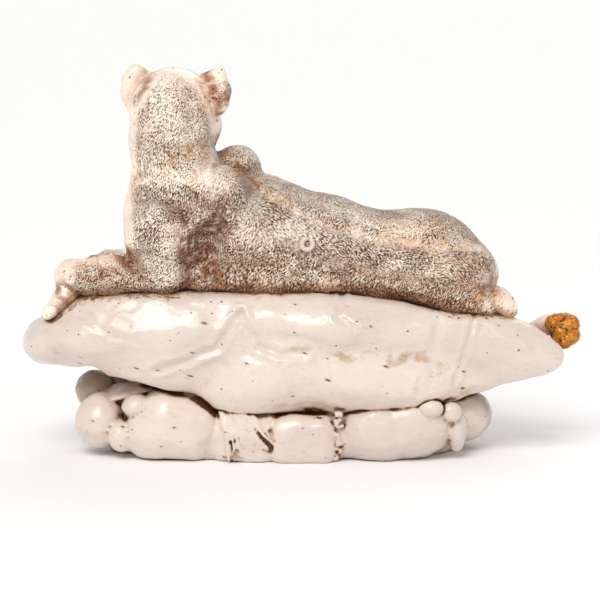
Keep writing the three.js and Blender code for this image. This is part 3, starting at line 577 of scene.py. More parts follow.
RUBBLE = 30
rubble_draw = np.random.default_rng(5)
rubble = [
    egg(in_ring(0.272 + side, -0.7 - 0.1 * height, 0.04 + 0.76 * height), (1.6, 2.4, 1.3), (0, turn, 0))
    for side, height, turn in zip(
        rubble_draw.normal(0, 0.011, RUBBLE), rubble_draw.random(RUBBLE), rubble_draw.integers(0, 90, RUBBLE)
    )
]
boulder_steps = [
    ("lay", 2, [ring_core, root_core, packing]),
    ("lay", 0.7, stones),
    ("lay", 0.3, roots),
    ("lay", 0.5, rubble),
]


def cut_level(clay):
    """Slices the underside off flat where the casting stands."""
    height = clay.low[2] + clay.step * np.arange(clay.count[2])
    clay.depth = np.maximum(clay.depth, -height[None, None, :].astype(np.float32))
    return clay


def add_to_whole(steps):
    """Notes a modelled part in the rough lattice of the whole group, for the wash and the painted shade at
    the end.
    """
    part = Clay(whole.low, whole.low + whole.step * (whole.count - 1), whole.step).model(steps)
    whole.depth = np.minimum(whole.depth, part.depth)


boulder_clay = cut_level(Clay((-150, -75, -4), (140, 75, 66), CLAY_STEP).model(boulder_steps))
cast("boulders", boulder_clay, rock_relief, lacquer.material)
add_to_whole(boulder_steps)

# The ledge: a long slab of rock with blunt ends, cast in one with the stones below it. Its back is a smooth
# wall with shallow facets, and its top is roughened where the animals lie.

# Half the ledge's length, half its depth, and its thickness.
LEDGE = np.array((178, 63, 81))
LEDGE_PLACE = np.array((8, 6, 26))


def in_ledge(*share):
    return LEDGE_PLACE + share * LEDGE


ledge_faces = [
    ((0, 0, 1.0), (0, 0, 1)),
    ((0.1, 0, 1.0), (0.15, 0, 1)),
    ((0.8, -0.4, 0.79), (0.72, 0.4, 1)),
    ((-0.933, 0, 0.728), (-0.91, 0, 1)),
    ((-0.98, 0, 0.5), (-1, 0, -0.12)),
    ((-0.55, 0, 0.25), (-0.25, -0.08, -1)),
    ((-0.1, 0, 0), (-0.12, 0, -1)),
    ((0.1, 0, 0), (0.12, 0, -1)),
    ((0.6, 0, 0.1), (0.44, -0.12, -1)),
    ((1.02, 0, 0.44), (1, 0, -0.25)),
    ((0, -0.9, 0.55), (0, -1, 0.3)),
    ((0, -0.9, 0.55), (0.05, -1, -0.42)),
    ((0.45, -0.86, 0.5), (0.38, -1, 0)),
    ((-0.5, -0.88, 0.5), (-0.42, -1, -0.1)),
    ((0, 1.0, 0.5), (0, 1, 0.3)),
    ((0, 1.0, 0.5), (0, 1, -0.6)),
    ((0.4, 0.96, 0.5), (0.5, 1, 0)),
    ((-0.5, 0.96, 0.5), (-0.5, 1, 0)),
]
LEDGE_WORN = 9


def slab_depth(x, y, z):
    depth = -1e6
    for place, direction in ledge_faces:
        normal = np.array(direction) / np.linalg.norm(direction)
        far = normal @ in_ledge(*place)
        depth = -blended(-depth, far - (normal[0] * x + normal[1] * y + normal[2] * z), LEDGE_WORN)
    swell = np.sin(x / 23 + 1.1) * np.sin(z / 17 + y / 40) + 0.6 * np.sin(x / 11 - z / 13)
    return depth - 0.8 * swell


ledge_swells = [
    ((-0.905, -0.1, 0.56), (0.078, 0.44, 0.16)),
    ((-0.6, -0.44, 0.63), (0.31, 0.42, 0.23), (0, 3, 0)),
    ((-0.38, -0.56, 0.68), (0.28, 0.36, 0.26), (0, 4, 0)),
    ((0.16, -0.7, 0.76), (0.34, 0.34, 0.2), (0, 5, 0)),
    ((-0.12, -0.62, 0.34), (0.22, 0.4, 0.26), (0, -20, 0)),
    ((0.26, -0.6, 0.32), (0.3, 0.38, 0.24), (0, 4, 0)),
    ((0.7, -0.34, 0.56), (0.26, 0.34, 0.22), (0, 14, 0)),
    ((0.1, 0.8, 0.6), (0.4, 0.3, 0.3)),
    ((-0.5, 0.62, 0.6), (0.26, 0.34, 0.26)),
    ((-0.1, 0.74, 0.88), (0.42, 0.28, 0.13)),
]
ledge_furrows = [
    ((-0.14, -1.02, 0.88), (-0.42, -1.04, 0.52), 0.037),
    ((-0.14, -1.02, 0.88), (0.02, -1.08, 0.56), 0.037),
    ((0.52, -0.86, 0.86), (0.47, -0.92, 0.2), 0.018),
    ((-0.76, -1, 0.3), (-0.72, 0.7, 0.3), 0.1),
]
slab = (in_ledge(0, 0, 0.5), LEDGE[0] * 1.1, slab_depth)
swells = [egg(in_ledge(*place), half * LEDGE, *lean) for place, half, *lean in ledge_swells]
furrows = [
    roll(in_ledge(*start), in_ledge(*end), share * LEDGE[2], share * LEDGE[2])
    for start, end, share in ledge_furrows
]
ledge_steps = [("lay", 1, [slab]), ("lay", 14, swells), ("scoop", 8, furrows)]
ledge_clay = Clay((-190, -76, 10), (206, 90, 124), CLAY_STEP).model(ledge_steps)
ledge_creases = [
    (((-0.2, 0.87), (-0.28, 0.62), (-0.37, 0.52), (-0.5, 0.43)), 1.5, 2.2),
    (((-0.2, 0.87), (-0.13, 0.62), (-0.045, 0.56), (0.03, 0.58)), 1.3, 2),
    (((0.64, 0.9), (0.61, 0.62), (0.56, 0.3)), 0.9, 1.5),
    (((-0.78, 0.86), (-0.66, 0.7), (-0.56, 0.66)), 0.5, 2),
    (((0.16, 0.98), (0.14, 0.86), (0.2, 0.78)), 0.9, 1.8),
    (((0.36, 0.5), (0.44, 0.4), (0.43, 0.26)), 0.7, 2),
]


OUT_OF_REACH = 99.0


def off_path(points, places):
    """How far each point is from a path through places given by width and height, as seen from the back."""
    x, z = points[:, 0], points[:, 2]
    nearest = np.full(len(points), OUT_OF_REACH)
    for (ax, az), (bx, bz) in zip(places, places[1:]):
        along_x, along_z = bx - ax, bz - az
        share = np.clip(((x - ax) * along_x + (z - az) * along_z) / (along_x**2 + along_z**2), 0, 1)
        nearest = np.minimum(nearest, np.hypot(x - ax - share * along_x, z - az - share * along_z))
    return nearest


def crease(points, path, deep, wide):
    """A cut with a raised lip across the near side, along a path in shares of the ledge."""
    places = [in_ledge(across, 0, up)[[0, 2]] for across, up in path]
    off = (off_path(points, places) + 0.9 * grain(points, 6, 14)) / wide
    return deep * (0.7 * np.exp(-((off - 2.2) ** 2)) - np.exp(-off * off)) * fade(0, -24, points[:, 1])


def ledge_relief(points):
    return rock_relief(points) + sum(crease(points, *path) for path in ledge_creases)


cast("rock_ledge", ledge_clay, ledge_relief, lacquer.material)
add_to_whole(ledge_steps)

# The tigress: she lies along the ledge with her back to the viewer and her head turned away. She is modelled
# mass by mass, and the coat is cut with short strokes of a gouge before the mould is taken.
TIGRESS_STEP = 1.21
HUNDREDTH = 2.9
TIGRESS_PLACE = np.array((-40, 0, LEDGE_PLACE[2] + LEDGE[2]))


def on_ledge(*share):
    return TIGRESS_PLACE + np.array(share) * HUNDREDTH


def mass(place, half, lean=(0, 0, 0)):
    return egg(on_ledge(*place), [h * HUNDREDTH for h in half], lean)


def limb(places, thicks):
    return bent_roll([on_ledge(*p) for p in places], [t * HUNDREDTH for t in thicks])


trunk = limb(
    [(-6, 1, 13.6), (8, 1, 12.2), (23, 0.8, 9.8), (34, 0.6, 7.8), (44, 1.4, 6.6)],
    [14.6, 12.6, 10.4, 9.3, 9.6],
)
belly = [
    mass((-2, -2.4, 2.6), (15, 8.6, 8)),
    mass((14, -2.6, 1.8), (18, 8.8, 7.2), (0, 2, 0)),
    mass((30, -1.6, 0.8), (16, 8, 7), (0, 2, 0)),
]
rump = [
    mass((45.7, 2.5, 7), (12.8, 10.6, 10.4), (0, 14, 0)),
    mass((53.2, 0.6, 3.8), (8.6, 8, 7.4), (0, 24, 0)),
    mass((47, -5.2, 1.2), (13.4, 7.4, 7.6), (0, 8, 0)),
]
chest = [mass((-13.6, -1, 14), (8.8, 12, 14)), mass((-11.4, 0, 22), (8.8, 10, 11))]
shoulders = [
    mass((-14, -9, 11.6), (7.4, 6.4, 9.6), (0, 8, 0)),
    mass((-6.6, -5, 21), (10, 7.4, 8)),
    mass((-1.2, -8, 18.4), (6.6, 5.8, 10), (6, 22, 0)),
    mass((1.5, 4, 23.9), (6.6, 6, 8.2), (0, 34, 0)),
    mass((-12, 8, 14), (8, 6.6, 11)),
]
neck = limb([(-10, -1, 22), (-11.3, -0.6, 33), (-11.2, 0.6, 39.5)], [10.2, 9.2, 8.9])
hollows = [
    *limb([(30.6, -13, 4.4), (25, -13.4, 1.6), (18.6, -13, 1)], [0.9, 1.3, 0.6]),
    *limb([(-15, -16, 8), (-19.4, -13.6, 8.2), (-22.4, -10, 9)], [0.8, 1, 0.8]),
    mass((-3.4, -17.4, 8.6), (4.4, 7.6, 9.4), (0, 14, 0)),
    *limb([(-0.6, -3, 32.4), (4.4, -5, 28.2), (8.6, -9.4, 24.2), (13.8, -11.4, 19.6)], [1.9, 2, 1.8, 1.6]),
    *limb([(13.8, -10.6, 19.4), (23.8, -10.4, 14.8), (32, -9.6, 12.4), (42, -9, 11)], [1.6, 1.5, 1.5, 1.4]),
]
near_arm = limb([(-15, -8, 11), (-12, -9, 4.2)], [6.4, 5.2])
near_forearm = limb([(-13, -8.4, 3.2), (-24, -8, 3.4), (-33, -7.6, 3.3)], [5, 4.7, 4])
near_paw = limb([(-33.9, -7.6, 0.4), (-37.4, -7.4, -4)], [2.9, 1.8])
near_toes = [
    mass((-37.8 - 0.3 * (i % 2), y, -4.3), (1.5, 1, 1.9), (0, 40, 0))
    for i, y in enumerate((-9.6, -8.1, -6.6, -5.1))
]
far_arm = limb([(-12, 9, 12), (-8, 12.6, 4)], [6, 4.6])
far_forearm = limb([(-8, 12.6, 3.4), (-19, 16.6, 3), (-27, 19, 2.6)], [4.6, 4.2, 3.7])
far_paw = [
    mass((-29.6, 19.8, 1.8), (4.6, 4, 3.2), (0, 0, -14)),
    *[mass((-32.8 + 0.1 * y * y, 20.6 + y, 1.2), (2.2, 1.1, 1.9)) for y in (-2.7, -0.9, 0.9, 2.7)],
]
near_foot = [
    *limb([(48, -8.8, -3), (58, -7.4, -3.6)], [3.2, 2.6]),
    mass((61.6, -5.4, -2.6), (4.7, 3.2, 3), (0, 42, 0)),
]
far_thigh = limb([(46, 7, 6.6), (35.6, 16, 3.6)], [8.2, 6])
far_shank = limb([(35, 16.6, 3), (45, 19.4, 0.6)], [4.8, 3.1])
far_foot = [
    *limb([(45, 19.4, 0.4), (36, 22, 0.2)], [2.9, 2.8]),
    mass((33, 22.6, 0.4), (4, 3.2, 2.5)),
]
far_toes = [mass((30.4, 22.8 + y, 0.1), (1.8, 0.95, 1.6)) for y in (-2.1, -0.7, 0.7, 2.1)]
tail = limb(
    [(55, 5, 1), (60, 12, -7), (66, 12.8, -13.4), (70, 11.2, -12.6), (73.6, 8, -9.6)],
    [3.6, 2.6, 2.4, 2.4, 2.3],
)

FACE_TURN = -12
skull_place = on_ledge(-10.9, 1.2, 40.4)
face_sin, face_cos = math.sin(math.radians(FACE_TURN)), math.cos(math.radians(FACE_TURN))


def on_head(x, y, z):
    """A place on the head, in hundredths of her length from the middle of the skull."""
    turned = np.array((x * face_cos - y * face_sin, x * face_sin + y * face_cos, z))
    return skull_place + turned * HUNDREDTH


def feature(place, half, lean=(0, 0, 0)):
    return egg(on_head(*place), [h * HUNDREDTH for h in half], (lean[0], lean[1], lean[2] + FACE_TURN))


def fold(start, end, thick_start, thick_end):
    """A roll of clay on the head."""
    return roll(on_head(*start), on_head(*end), thick_start * HUNDREDTH, thick_end * HUNDREDTH)


SIDES = (-1, 1)
skull = [
    feature((0, 0, -0.5), (9.4, 10, 8.9)),
    feature((0, 5.4, -3.8), (8.6, 7.6, 7)),
    *[feature((s * 5.4, 4.2, -5.8), (4, 5, 6), (0, s * 14, 0)) for s in SIDES],
]
brow = [
    fold((0, 7.4, 3.2), (0, 14, -2.6), 3.2, 2.5),
    *[feature((s * 4, 8, 3.4), (2.8, 2.6, 1.8), (0, s * 12, 0)) for s in SIDES],
]
muzzle = [
    feature((0, 11.4, -6), (5.6, 4.6, 4)),
    *[feature((s * 2.7, 13.4, -6.2), (3.3, 3, 2.8)) for s in SIDES],
    feature((0, 11.6, -9.6), (3.8, 3.6, 2.3)),
]
nose = [feature((0, 16.1, -3.5), (2.5, 1.4, 1.4)), feature((0, 15.9, -4.6), (1.1, 1.2, 1))]
eye_sockets = [feature((s * 4.5, 12, 0.3), (2.6, 2.3, 1.6), (0, s * -16, 0)) for s in SIDES]
eyes = [feature((s * 4.4, 10.9, 0.45), (1.9, 1.5, 1.45)) for s in SIDES]
eyelids = [fold((s * 2.7, 12.3, 2.2), (s * 6.4, 10.9, 2.3), 1.2, 1) for s in SIDES]
mouth = [fold((0, 16, -7.6), (s * 5, 12, -8.4), 0.5, 0.4) for s in SIDES]
ears = [
    feature((-7.8, -0.8, 3.5), (3.9, 2.2, 6), (8, -8, 16)),
    feature((10, -0.5, 2.6), (3.2, 2.2, 4.8), (8, 14, -20)),
    fold((8.6, -0.6, 3.4), (10.9, -1.1, 8.5), 2.6, 0.8),
    fold((6.4, -0.8, 5), (10.4, -1.1, 7.6), 1.8, 1.2),
    fold((11.4, -0.8, 3.6), (11, -1.1, 7.6), 1.7, 1),
]
ear_cups = [
    feature((-8, 1.4, 4.1), (2.7, 1.6, 4.4), (8, -8, 16)),
    feature((10.4, 2.4, 3.8), (2.2, 1.6, 3.8), (8, 14, -20)),
]

tigress_steps = [
    ("lay", 6, trunk + belly + rump + chest),
    ("lay", 4.5, shoulders + neck),
    ("scoop", 6, hollows),
    ("lay", 4, near_arm + far_arm + far_thigh),
    ("lay", 3, near_forearm + far_forearm + far_shank + near_foot + far_foot + near_paw),
    ("lay", 1.2, near_toes + far_paw + far_toes),
    ("lay", 3, tail),
    ("lay", 4, skull),
    ("lay", 2.4, brow + muzzle),
    ("scoop", 2, eye_sockets),
    ("lay", 0.6, eyes),
    ("lay", 0.9, eyelids),
    ("lay", 1, nose),
    ("scoop", 0.8, mouth),
    ("lay", 2.4, ears),
    ("scoop", 1.4, ear_cups),
]


# Muscle under the near side's skin: paths by width and height, each with its breadth and its height in mm.
MUSCLE_PATHS = (
    (((-34, 164), (-44, 150), (-54, 134), (-50, 118)), 8, -2.8),
    (((-66, 166), (-62, 150), (-57, 136)), 5, -1.4),
    (((-78, 188), (-60, 195), (-44, 202)), 5, -1.1),
    (((-42, 203), (-29, 187), (-15, 173)), 4, -1.6),
    (((20, 153), (60, 143), (100, 138)), 5, -1.1),
    (((60, 104), (48, 112), (36, 108)), 5, -1.4),
    (((-104, 135), (-98, 127), (-92, 118)), 3.5, -1.5),
    (((-92, 183), (-98, 160), (-106, 140)), 4, -0.8),
    (((118, 104), (132, 112)), 4, -1.2),
    (((-141, 111), (-132, 106)), 3, -1.6),
    (((-48, 186), (-38, 168)), 9, 1.8),
    (((-84, 162), (-78, 136)), 9, 1.4),
    (((-2, 150), (60, 132)), 9, 0.9),
    (((108, 140), (124, 126)), 9, 1.2),
)


def coat_relief(points):
    """Muscle under the skin, with locks of the coat that lie back along it."""
    near = fade(6, -8, points[:, 1])
    bands = [high * np.exp(-((off_path(points, path) / wide) ** 2)) for path, wide, high in MUSCLE_PATHS]
    muscle = near * sum(bands)
    muscle += 0.6 * grain(points, 17, 5) + 0.25 * grain(points, 8, 16)
    return muscle + 0.26 * grain(points, (5, 2.8, 2.8), 6)


SWAY = 3.6


def coat_finish(name, stroke, thick):
    """Cream resin whose coat is cut in short strokes, with brown wash left in the cuts and painted shade in
    the hollows.
    """
    coat = Finish(name)
    waves = {"Vector": coat.stretched((15, 15, 15)), "Scale": 1.0, "Detail": 1.0}
    sway = coat.node("TexNoise", waves).outputs["Color"]
    swayed = {0: sway, 1: [SWAY * MM] * 3, 2: coat.place}
    coat.place = coat.node("VectorMath", swayed, operation="MULTIPLY_ADD").outputs["Vector"]
    hair = coat.noted("hair")
    hollow_shade = coat.noted("hollow_shade")
    worn = coat.between(coat.clouds((13, 13, 10), 3.0, shift=0.2), 0.3, 0.66)
    close = coat.plus(coat.times(hair, 0.2), coat.times(worn, 0.045))
    # The cuts also crowd closer in the broad hollows, which deepens the painted shade there.
    close = coat.plus(coat.less(close, 0.235), coat.times(hollow_shade, 0.05))
    lay = coat.node("SeparateXYZ", {0: coat.noted("lay", "Vector")}).outputs
    cuts = 0.0
    for part, lean in zip(lay, ((0, -55, 6), (0, 32, -6), (0, -72, 0))):
        cut = coat.between(coat.plus(coat.clouds((stroke, thick, thick), 1.2, lean), close), 0.46, 0.6)
        cuts = coat.plus(cuts, coat.times(cut, part))

    coat.ground(coat.between(coat.clouds((26, 26, 20)), 0.38, 0.64), (255, 243, 224), (246, 226, 210))
    veil = coat.times(coat.between(hair, 0.1, 0.7), coat.plus(coat.times(worn, 0.22), 0.04))
    # A brown veil over the cut coat, with painted shade in the broad hollows in the same brown.
    coat.wash(coat.plus(veil, coat.times(hollow_shade, 0.62)), 190, 134, 92)
    patchy = coat.times(coat.less(coat.clouds((6, 6, 5), 6.0, shift=0.7), 0.5), 2.6)
    ochre = coat.times(coat.noted("ochre"), coat.between(patchy, -0.45, 0.35))
    coat.wash(coat.times(ochre, 0.8), 204, 146, 80)
    # Reddish wash stains, together with painted shade in the hollow behind the elbow and the other scooped
    # hollows.
    russet_stain_and_shade = coat.times(coat.noted("russet_stain_and_shade"), coat.between(patchy, -0.5, 0.3))
    coat.wash(coat.times(russet_stain_and_shade, 0.85), 146, 76, 42)
    uneven = coat.plus(coat.times(coat.between(coat.clouds((17, 17, 9), 2.0), 0.36, 0.62), 0.8), 0.2)
    crevice = coat.times(coat.noted("crevice"), uneven)
    crevice = coat.plus(crevice, coat.times(coat.clouds((4, 4, 4), 3.0), 0.2))
    coat.wash(coat.times(coat.between(crevice, 0.22, 0.7), 0.7), 150, 98, 60)

    deep = coat.plus(coat.times(worn, 0.35), 0.6)
    deep = coat.times(cuts, coat.plus(deep, coat.times(russet_stain_and_shade, 0.3)))
    coat.wash(coat.times(coat.between(deep, 0.04, 0.5), 0.7), 160, 104, 64)
    coat.wash(coat.times(coat.between(deep, 0.24, 0.85), 0.92), 70, 36, 16)
    coat.wash(coat.between(crevice, 0.6, 0.95), 56, 31, 20)
    flecks = coat.between(coat.flecks((7, 4, 4), 0.4, 0.3, lean=(0, -50, 0)), 0.1, 0.03)
    flecks = coat.times(flecks, coat.between(hair, 0.5, 0.2))
    coat.wash(coat.times(flecks, 0.75), 92, 62, 44)
    coat.wash(coat.times(coat.noted("inked"), 0.9), 44, 26, 18)
    gloss = coat.plus(coat.times(hair, 0.22), coat.times(cuts, 0.2))
    coat.shade({"Base Color": coat.painted, "Roughness": coat.plus(gloss, 0.26), "Specular IOR Level": 0.4})
    coat.shade({"Coat Weight": 0.08, "Coat Roughness": 0.2})
    coat.relief(coat.times(cuts, -1.0), 1.3)
    return coat.material


tigress_coat = coat_finish("gouged coat under brown wash", 2.0, 0.48)
SPINE_X = (-90, -44, -29, -18, 0, 29, 53, 75, 109, 180)
SPINE_Z = (230, 200, 185, 174, 162, 148, 142, 138, 134, 128)


# Where reddish wash stains her near side, and painted shade lies in the hollow behind the elbow and the
# other scooped hollows: a path by width and height, its breadth and its strength.
RUSSET_STAIN_AND_SHADE_PATHS = (
    (((-36, 160), (-45, 147), (-55, 136)), 9, 1.1),
    (((-67, 161), (-61, 148), (-57, 134)), 7, 0.8),
    (((-60, 134), (-48, 123)), 9, 1),
    (((-50, 150), (-53, 130)), 15, 0.4),
    (((-51, 248), (-46, 236), (-41, 224), (-36, 208)), 4, 1),
    (((-34, 240), (-37, 227)), 3, 1),
    (((-104, 135), (-99, 127), (-91, 119)), 3.5, 0.9),
    (((-94, 181), (-87, 184)), 2.5, 0.85),
    (((-86, 242), (-96, 226)), 2.2, 0.9),
    (((34, 102), (60, 104), (90, 100)), 5, 0.7),
    (((126, 108), (139, 113)), 4, 0.8),
    (((-42, 203), (-29, 187), (-15, 173)), 1.6, 0.8),
    (((-52, 110), (-20, 104), (10, 103)), 4, 0.4),
    (((-92, 250), (-88, 238)), 2, 0.6),
    (((-146, 108), (-139, 100)), 5, 0.9),
    (((-141, 112), (-133, 107)), 4, 1.1),
    (((-124, 121), (-112, 120)), 4, 0.6),
)
STAIN_AND_SHADE_SPREAD = 1.7
OCHRE_PATHS = (
    (((-76, 189), (-61, 198), (-43, 203), (-29, 187), (-15, 173), (4, 163)), 5, 0.9),
    (((-57, 180), (-54, 168)), 5, 0.8),
    (((-61, 119), (-46, 115)), 7, 0.9),
    (((-100, 131), (-90, 124)), 7, 0.6),
    (((-84, 248), (-91, 243)), 4, 0.7),
    (((-48, 242), (-38, 212)), 8, 0.7),
    (((20, 153), (60, 142), (100, 137)), 4, 0.4),
    (((-44, 122), (0, 114), (60, 112), (112, 116)), 18, 0.5),
    (((-128, 122), (-104, 118)), 14, 0.6),
    (((66, 152), (104, 146), (128, 132)), 12, 0.45),
    (((118, 100), (134, 108)), 8, 0.8),
    (((-92, 184), (-100, 150), (-106, 138)), 4, 0.5),
)


def on_lumps(points, lumps):
    """1 where the skin is that of one of the lumps, falling to 0 beside them."""
    return fade(0.7, 0.1, np.min([depth(*points.T) for _, _, depth in lumps], axis=0))


def coat_notes(points):
    """How much the coat is cut, which way it lies, where the wash stains it and where painted shade and a
    painted highlight lie, and the inked eyes and nose.
    """
    x, y, z = points.T
    below = np.interp(x, SPINE_X, SPINE_Z) - z
    down_the_flank = fade(-1, 5, below) * fade(30, 12, below) * fade(-30, -8, x)
    falling = down_the_flank + fade(-66, -58, x) * fade(198, 206, z)
    upright = fade(158, 170, z) * fade(206, 196, z) * fade(-40, -48, x)
    falling = np.clip(falling, 0, 1)
    upright = np.clip(upright, 0, 1 - falling)
    lay = np.stack([1 - falling - upright, falling, upright], 1)

    nape = np.hypot((x + 71) / 24, (z - 200) / 44)
    body = np.maximum(fade(186, 172, z), fade(-50, -44, x) * fade(212, 204, z))
    head = np.maximum(fade(172, 186, z) * fade(1.12, 0.92, nape) * 0.78, body)
    # The left edge of the neck is left smooth and uncut, so pale, partly as a painted highlight along that
    # edge.
    smooth_highlit_neck = fade(-95, -101, x + 0.12 * (z - 170)) * fade(128, 150, z)
    paw = fade(-130, -139, x) + fade(132, 140, x) * fade(4, -4, y) + 0.8 * fade(152, 166, x)
    forearm = fade(-98, -110, x) * (0.06 + 0.66 * fade(122, 128, z) + 0.2 * fade(110, 106, z))
    front = fade(4, 16, y) * fade(176, 190, z)
    ear = fade(-49, -43, x) * fade(226, 230, z) * fade(246, 236, z)
    face = fade(16, 26, y) * fade(190, 200, z)
    nose_off = np.linalg.norm(points - on_head(0, 16.4, -3.8), axis=1)
    eye_off = np.minimum(*[np.linalg.norm(points - on_head(s * 4.4, 12, 0.2), axis=1) for s in SIDES])
    bare = fade(8, 6, nose_off) + fade(6.5, 5, eye_off)
    hair = head + 0.75 * front + 0.7 * ear - smooth_highlit_neck - paw - forearm - 0.3 * face - bare
    hair = np.clip(hair, 0.02, 1)
    # Painted highlight: a thin band along the spine is cut more sparsely, so it reads lighter, as a lit
    # ridge would.
    spine_highlight = np.exp(-(((below + 1) / 3.5) ** 2)) * fade(-30, -10, x)
    sparse = 0.35 * spine_highlight + 0.25 * fade(0.2, 0.6, grain(points, (24, 24, 18), 17))
    near = fade(8, -6, y)
    # Reddish wash with painted shade in the hollows, and ochre stains, along paths on her near side.
    stains_and_shade = []
    for paths in (RUSSET_STAIN_AND_SHADE_PATHS, OCHRE_PATHS):
        spots = [share * fade(STAIN_AND_SHADE_SPREAD * wide, 0, off_path(points, path)) for path, wide, share in paths]
        stains_and_shade.append(near * sum(spots))
    stains_and_shade[0] += fade(9, 6, nose_off) + 0.8 * fade(8, 5.5, eye_off)
    iris_off = np.minimum(*[np.linalg.norm(points - on_head(s * 4.3, 12.7, 0), axis=1) for s in SIDES])
    inked = np.maximum(0.7 * on_lumps(points, nose), fade(5.2, 3.8, iris_off))
    return hair * (1 - sparse), lay, *[np.clip(stain, 0, 1) for stain in stains_and_shade], inked


def cut_coat(piece, notes):
    """Notes how a piece's coat is cut and stained, and where painted shade lies on it."""
    for name, values in zip(("hair", "lay", "russet_stain_and_shade", "ochre", "inked"), notes):
        note(piece.data, name, values)


tigress_clay = Clay((-164, -62, 54), (184, 82, 264), TIGRESS_STEP).model(tigress_steps)


def near_skin(clay, x, z):
    """The point on the clay's near side, as seen from the back of the statue, at this width and height."""
    line = np.array([(x, y, z) for y in np.arange(clay.low[1] + 1, 60, 0.25)])
    return line[np.argmax(clay.at(line) < 0)]


tigress = cast("tigress", tigress_clay, coat_relief, tigress_coat)
tigress_points = cast_pieces["tigress"][1]
cut_coat(tigress, coat_notes(tigress_points))
add_to_whole(tigress_steps)

# The vent: the hole in her flank that the resin is poured through. It is half closed by a raised ring of
# putty, pressed round it by hand and left open at the top.
VENT_STEP = 0.4
VENT = (14.3, 138.8)
VENT_HALF, PUTTY, PUTTY_SUNK = 3.5, 1.5, 0.9
VENT_ROOM = 8
vent_middle = near_skin(tigress_clay, *VENT)
putty_ring = []
for turn in np.radians(np.arange(100, 420, 20)):
    across, up = VENT_HALF * math.cos(turn), VENT_HALF * math.sin(turn)
    putty_ring.append(near_skin(tigress_clay, VENT[0] + across, VENT[1] + up) - (0, PUTTY_SUNK, 0))
vent_steps = [("lay", 0.4, bent_roll(putty_ring, [PUTTY] * len(putty_ring)))]
vent_clay = Clay(vent_middle - VENT_ROOM, vent_middle + VENT_ROOM, VENT_STEP).model(vent_steps)
cast("vent_ring", vent_clay, lambda points: 0.25 * grain(points, 2.2, 21), lacquer.material)

# The tail's tuft: a thick tassel of hair on the tip of the tail, over the ledge's right end. It is cut in
# chunky locks and picked out with a brush in old gold.
TUFT_STEP = 0.5
TUFT_ROOM = 20
tuft_middle = on_ledge(76, 6, -11)
tuft_lumps = [
    mass((77, 6, -10.3), (3.4, 3.4, 3.6), (0, 30, 0)),
    mass((78.4, 5.4, -9.2), (2, 2.7, 2.1), (0, 20, 0)),
    mass((78.5, 5.2, -11.6), (2.1, 2.7, 2.1), (0, 40, 0)),
    mass((76.9, 4.8, -12.7), (2.1, 2.5, 1.8), (0, 60, 0)),
    mass((74.9, 5.6, -9), (2.1, 2.7, 2.1), (0, 10, 0)),
]
tuft_steps = [("lay", 1.2, tuft_lumps)]
lock_turn = np.array(Euler((0.6, 0.9, 0.4)).to_matrix())


def lock_relief(points):
    """Crumpled locks: blunt ridges with sharp clefts between them."""
    bent = points + 2.2 * np.stack([grain(points, 4.4, seed) for seed in (22, 23, 24)], 1)
    coarse = np.abs(grain(bent @ lock_turn, (5.2, 3.4, 3.8), 7))
    fine = np.abs(grain(bent @ lock_turn, (2.3, 1.6, 1.9), 8))
    return 2.2 * np.minimum(coarse, 0.45) + 0.9 * np.minimum(fine, 0.4) - 0.8


tuft_clay = Clay(tuft_middle - TUFT_ROOM, tuft_middle + TUFT_ROOM, TUFT_STEP).model(tuft_steps)
gold = Finish("old gold")
gold.ground(gold.between(gold.clouds((3, 3, 3), 3.0), 0.35, 0.65), (214, 142, 44), (186, 108, 26))
gold.wash(gold.between(gold.noted("low"), 0.1, 0.5), 96, 52, 14)
gold.wash(gold.between(gold.noted("crevice"), 0.3, 0.7), 60, 32, 12)
gold.shade({"Base Color": gold.painted, "Metallic": 0.35, "Roughness": 0.36})
gold.relief(gold.clouds((1.2, 1.2, 1.2), 3.0), 0.3)
tail_tuft = cast("tail_tuft", tuft_clay, lock_relief, gold.material)
note(tail_tuft.data, "low", -lock_relief(cast_pieces["tail_tuft"][1]))
add_to_whole(tuft_steps)

# The cubs: two of them lie against their mother's belly on the far side, small, round-headed and alert.
# Each is modelled on its own and pressed into the ledge before the mould is taken.
CUB_STEP = 0.8
CUB_HUNDREDTH = 0.82
CUB_ROOM = ((-56, -56, -12), (56, 56, 60))
EYES_AND_NOSE = 4


def turned_about(angle, x, y, z, place):
    s, c = math.sin(math.radians(angle)), math.cos(math.radians(angle))
    return np.array(place) + np.array((x * c - y * s, x * s + y * c, z))


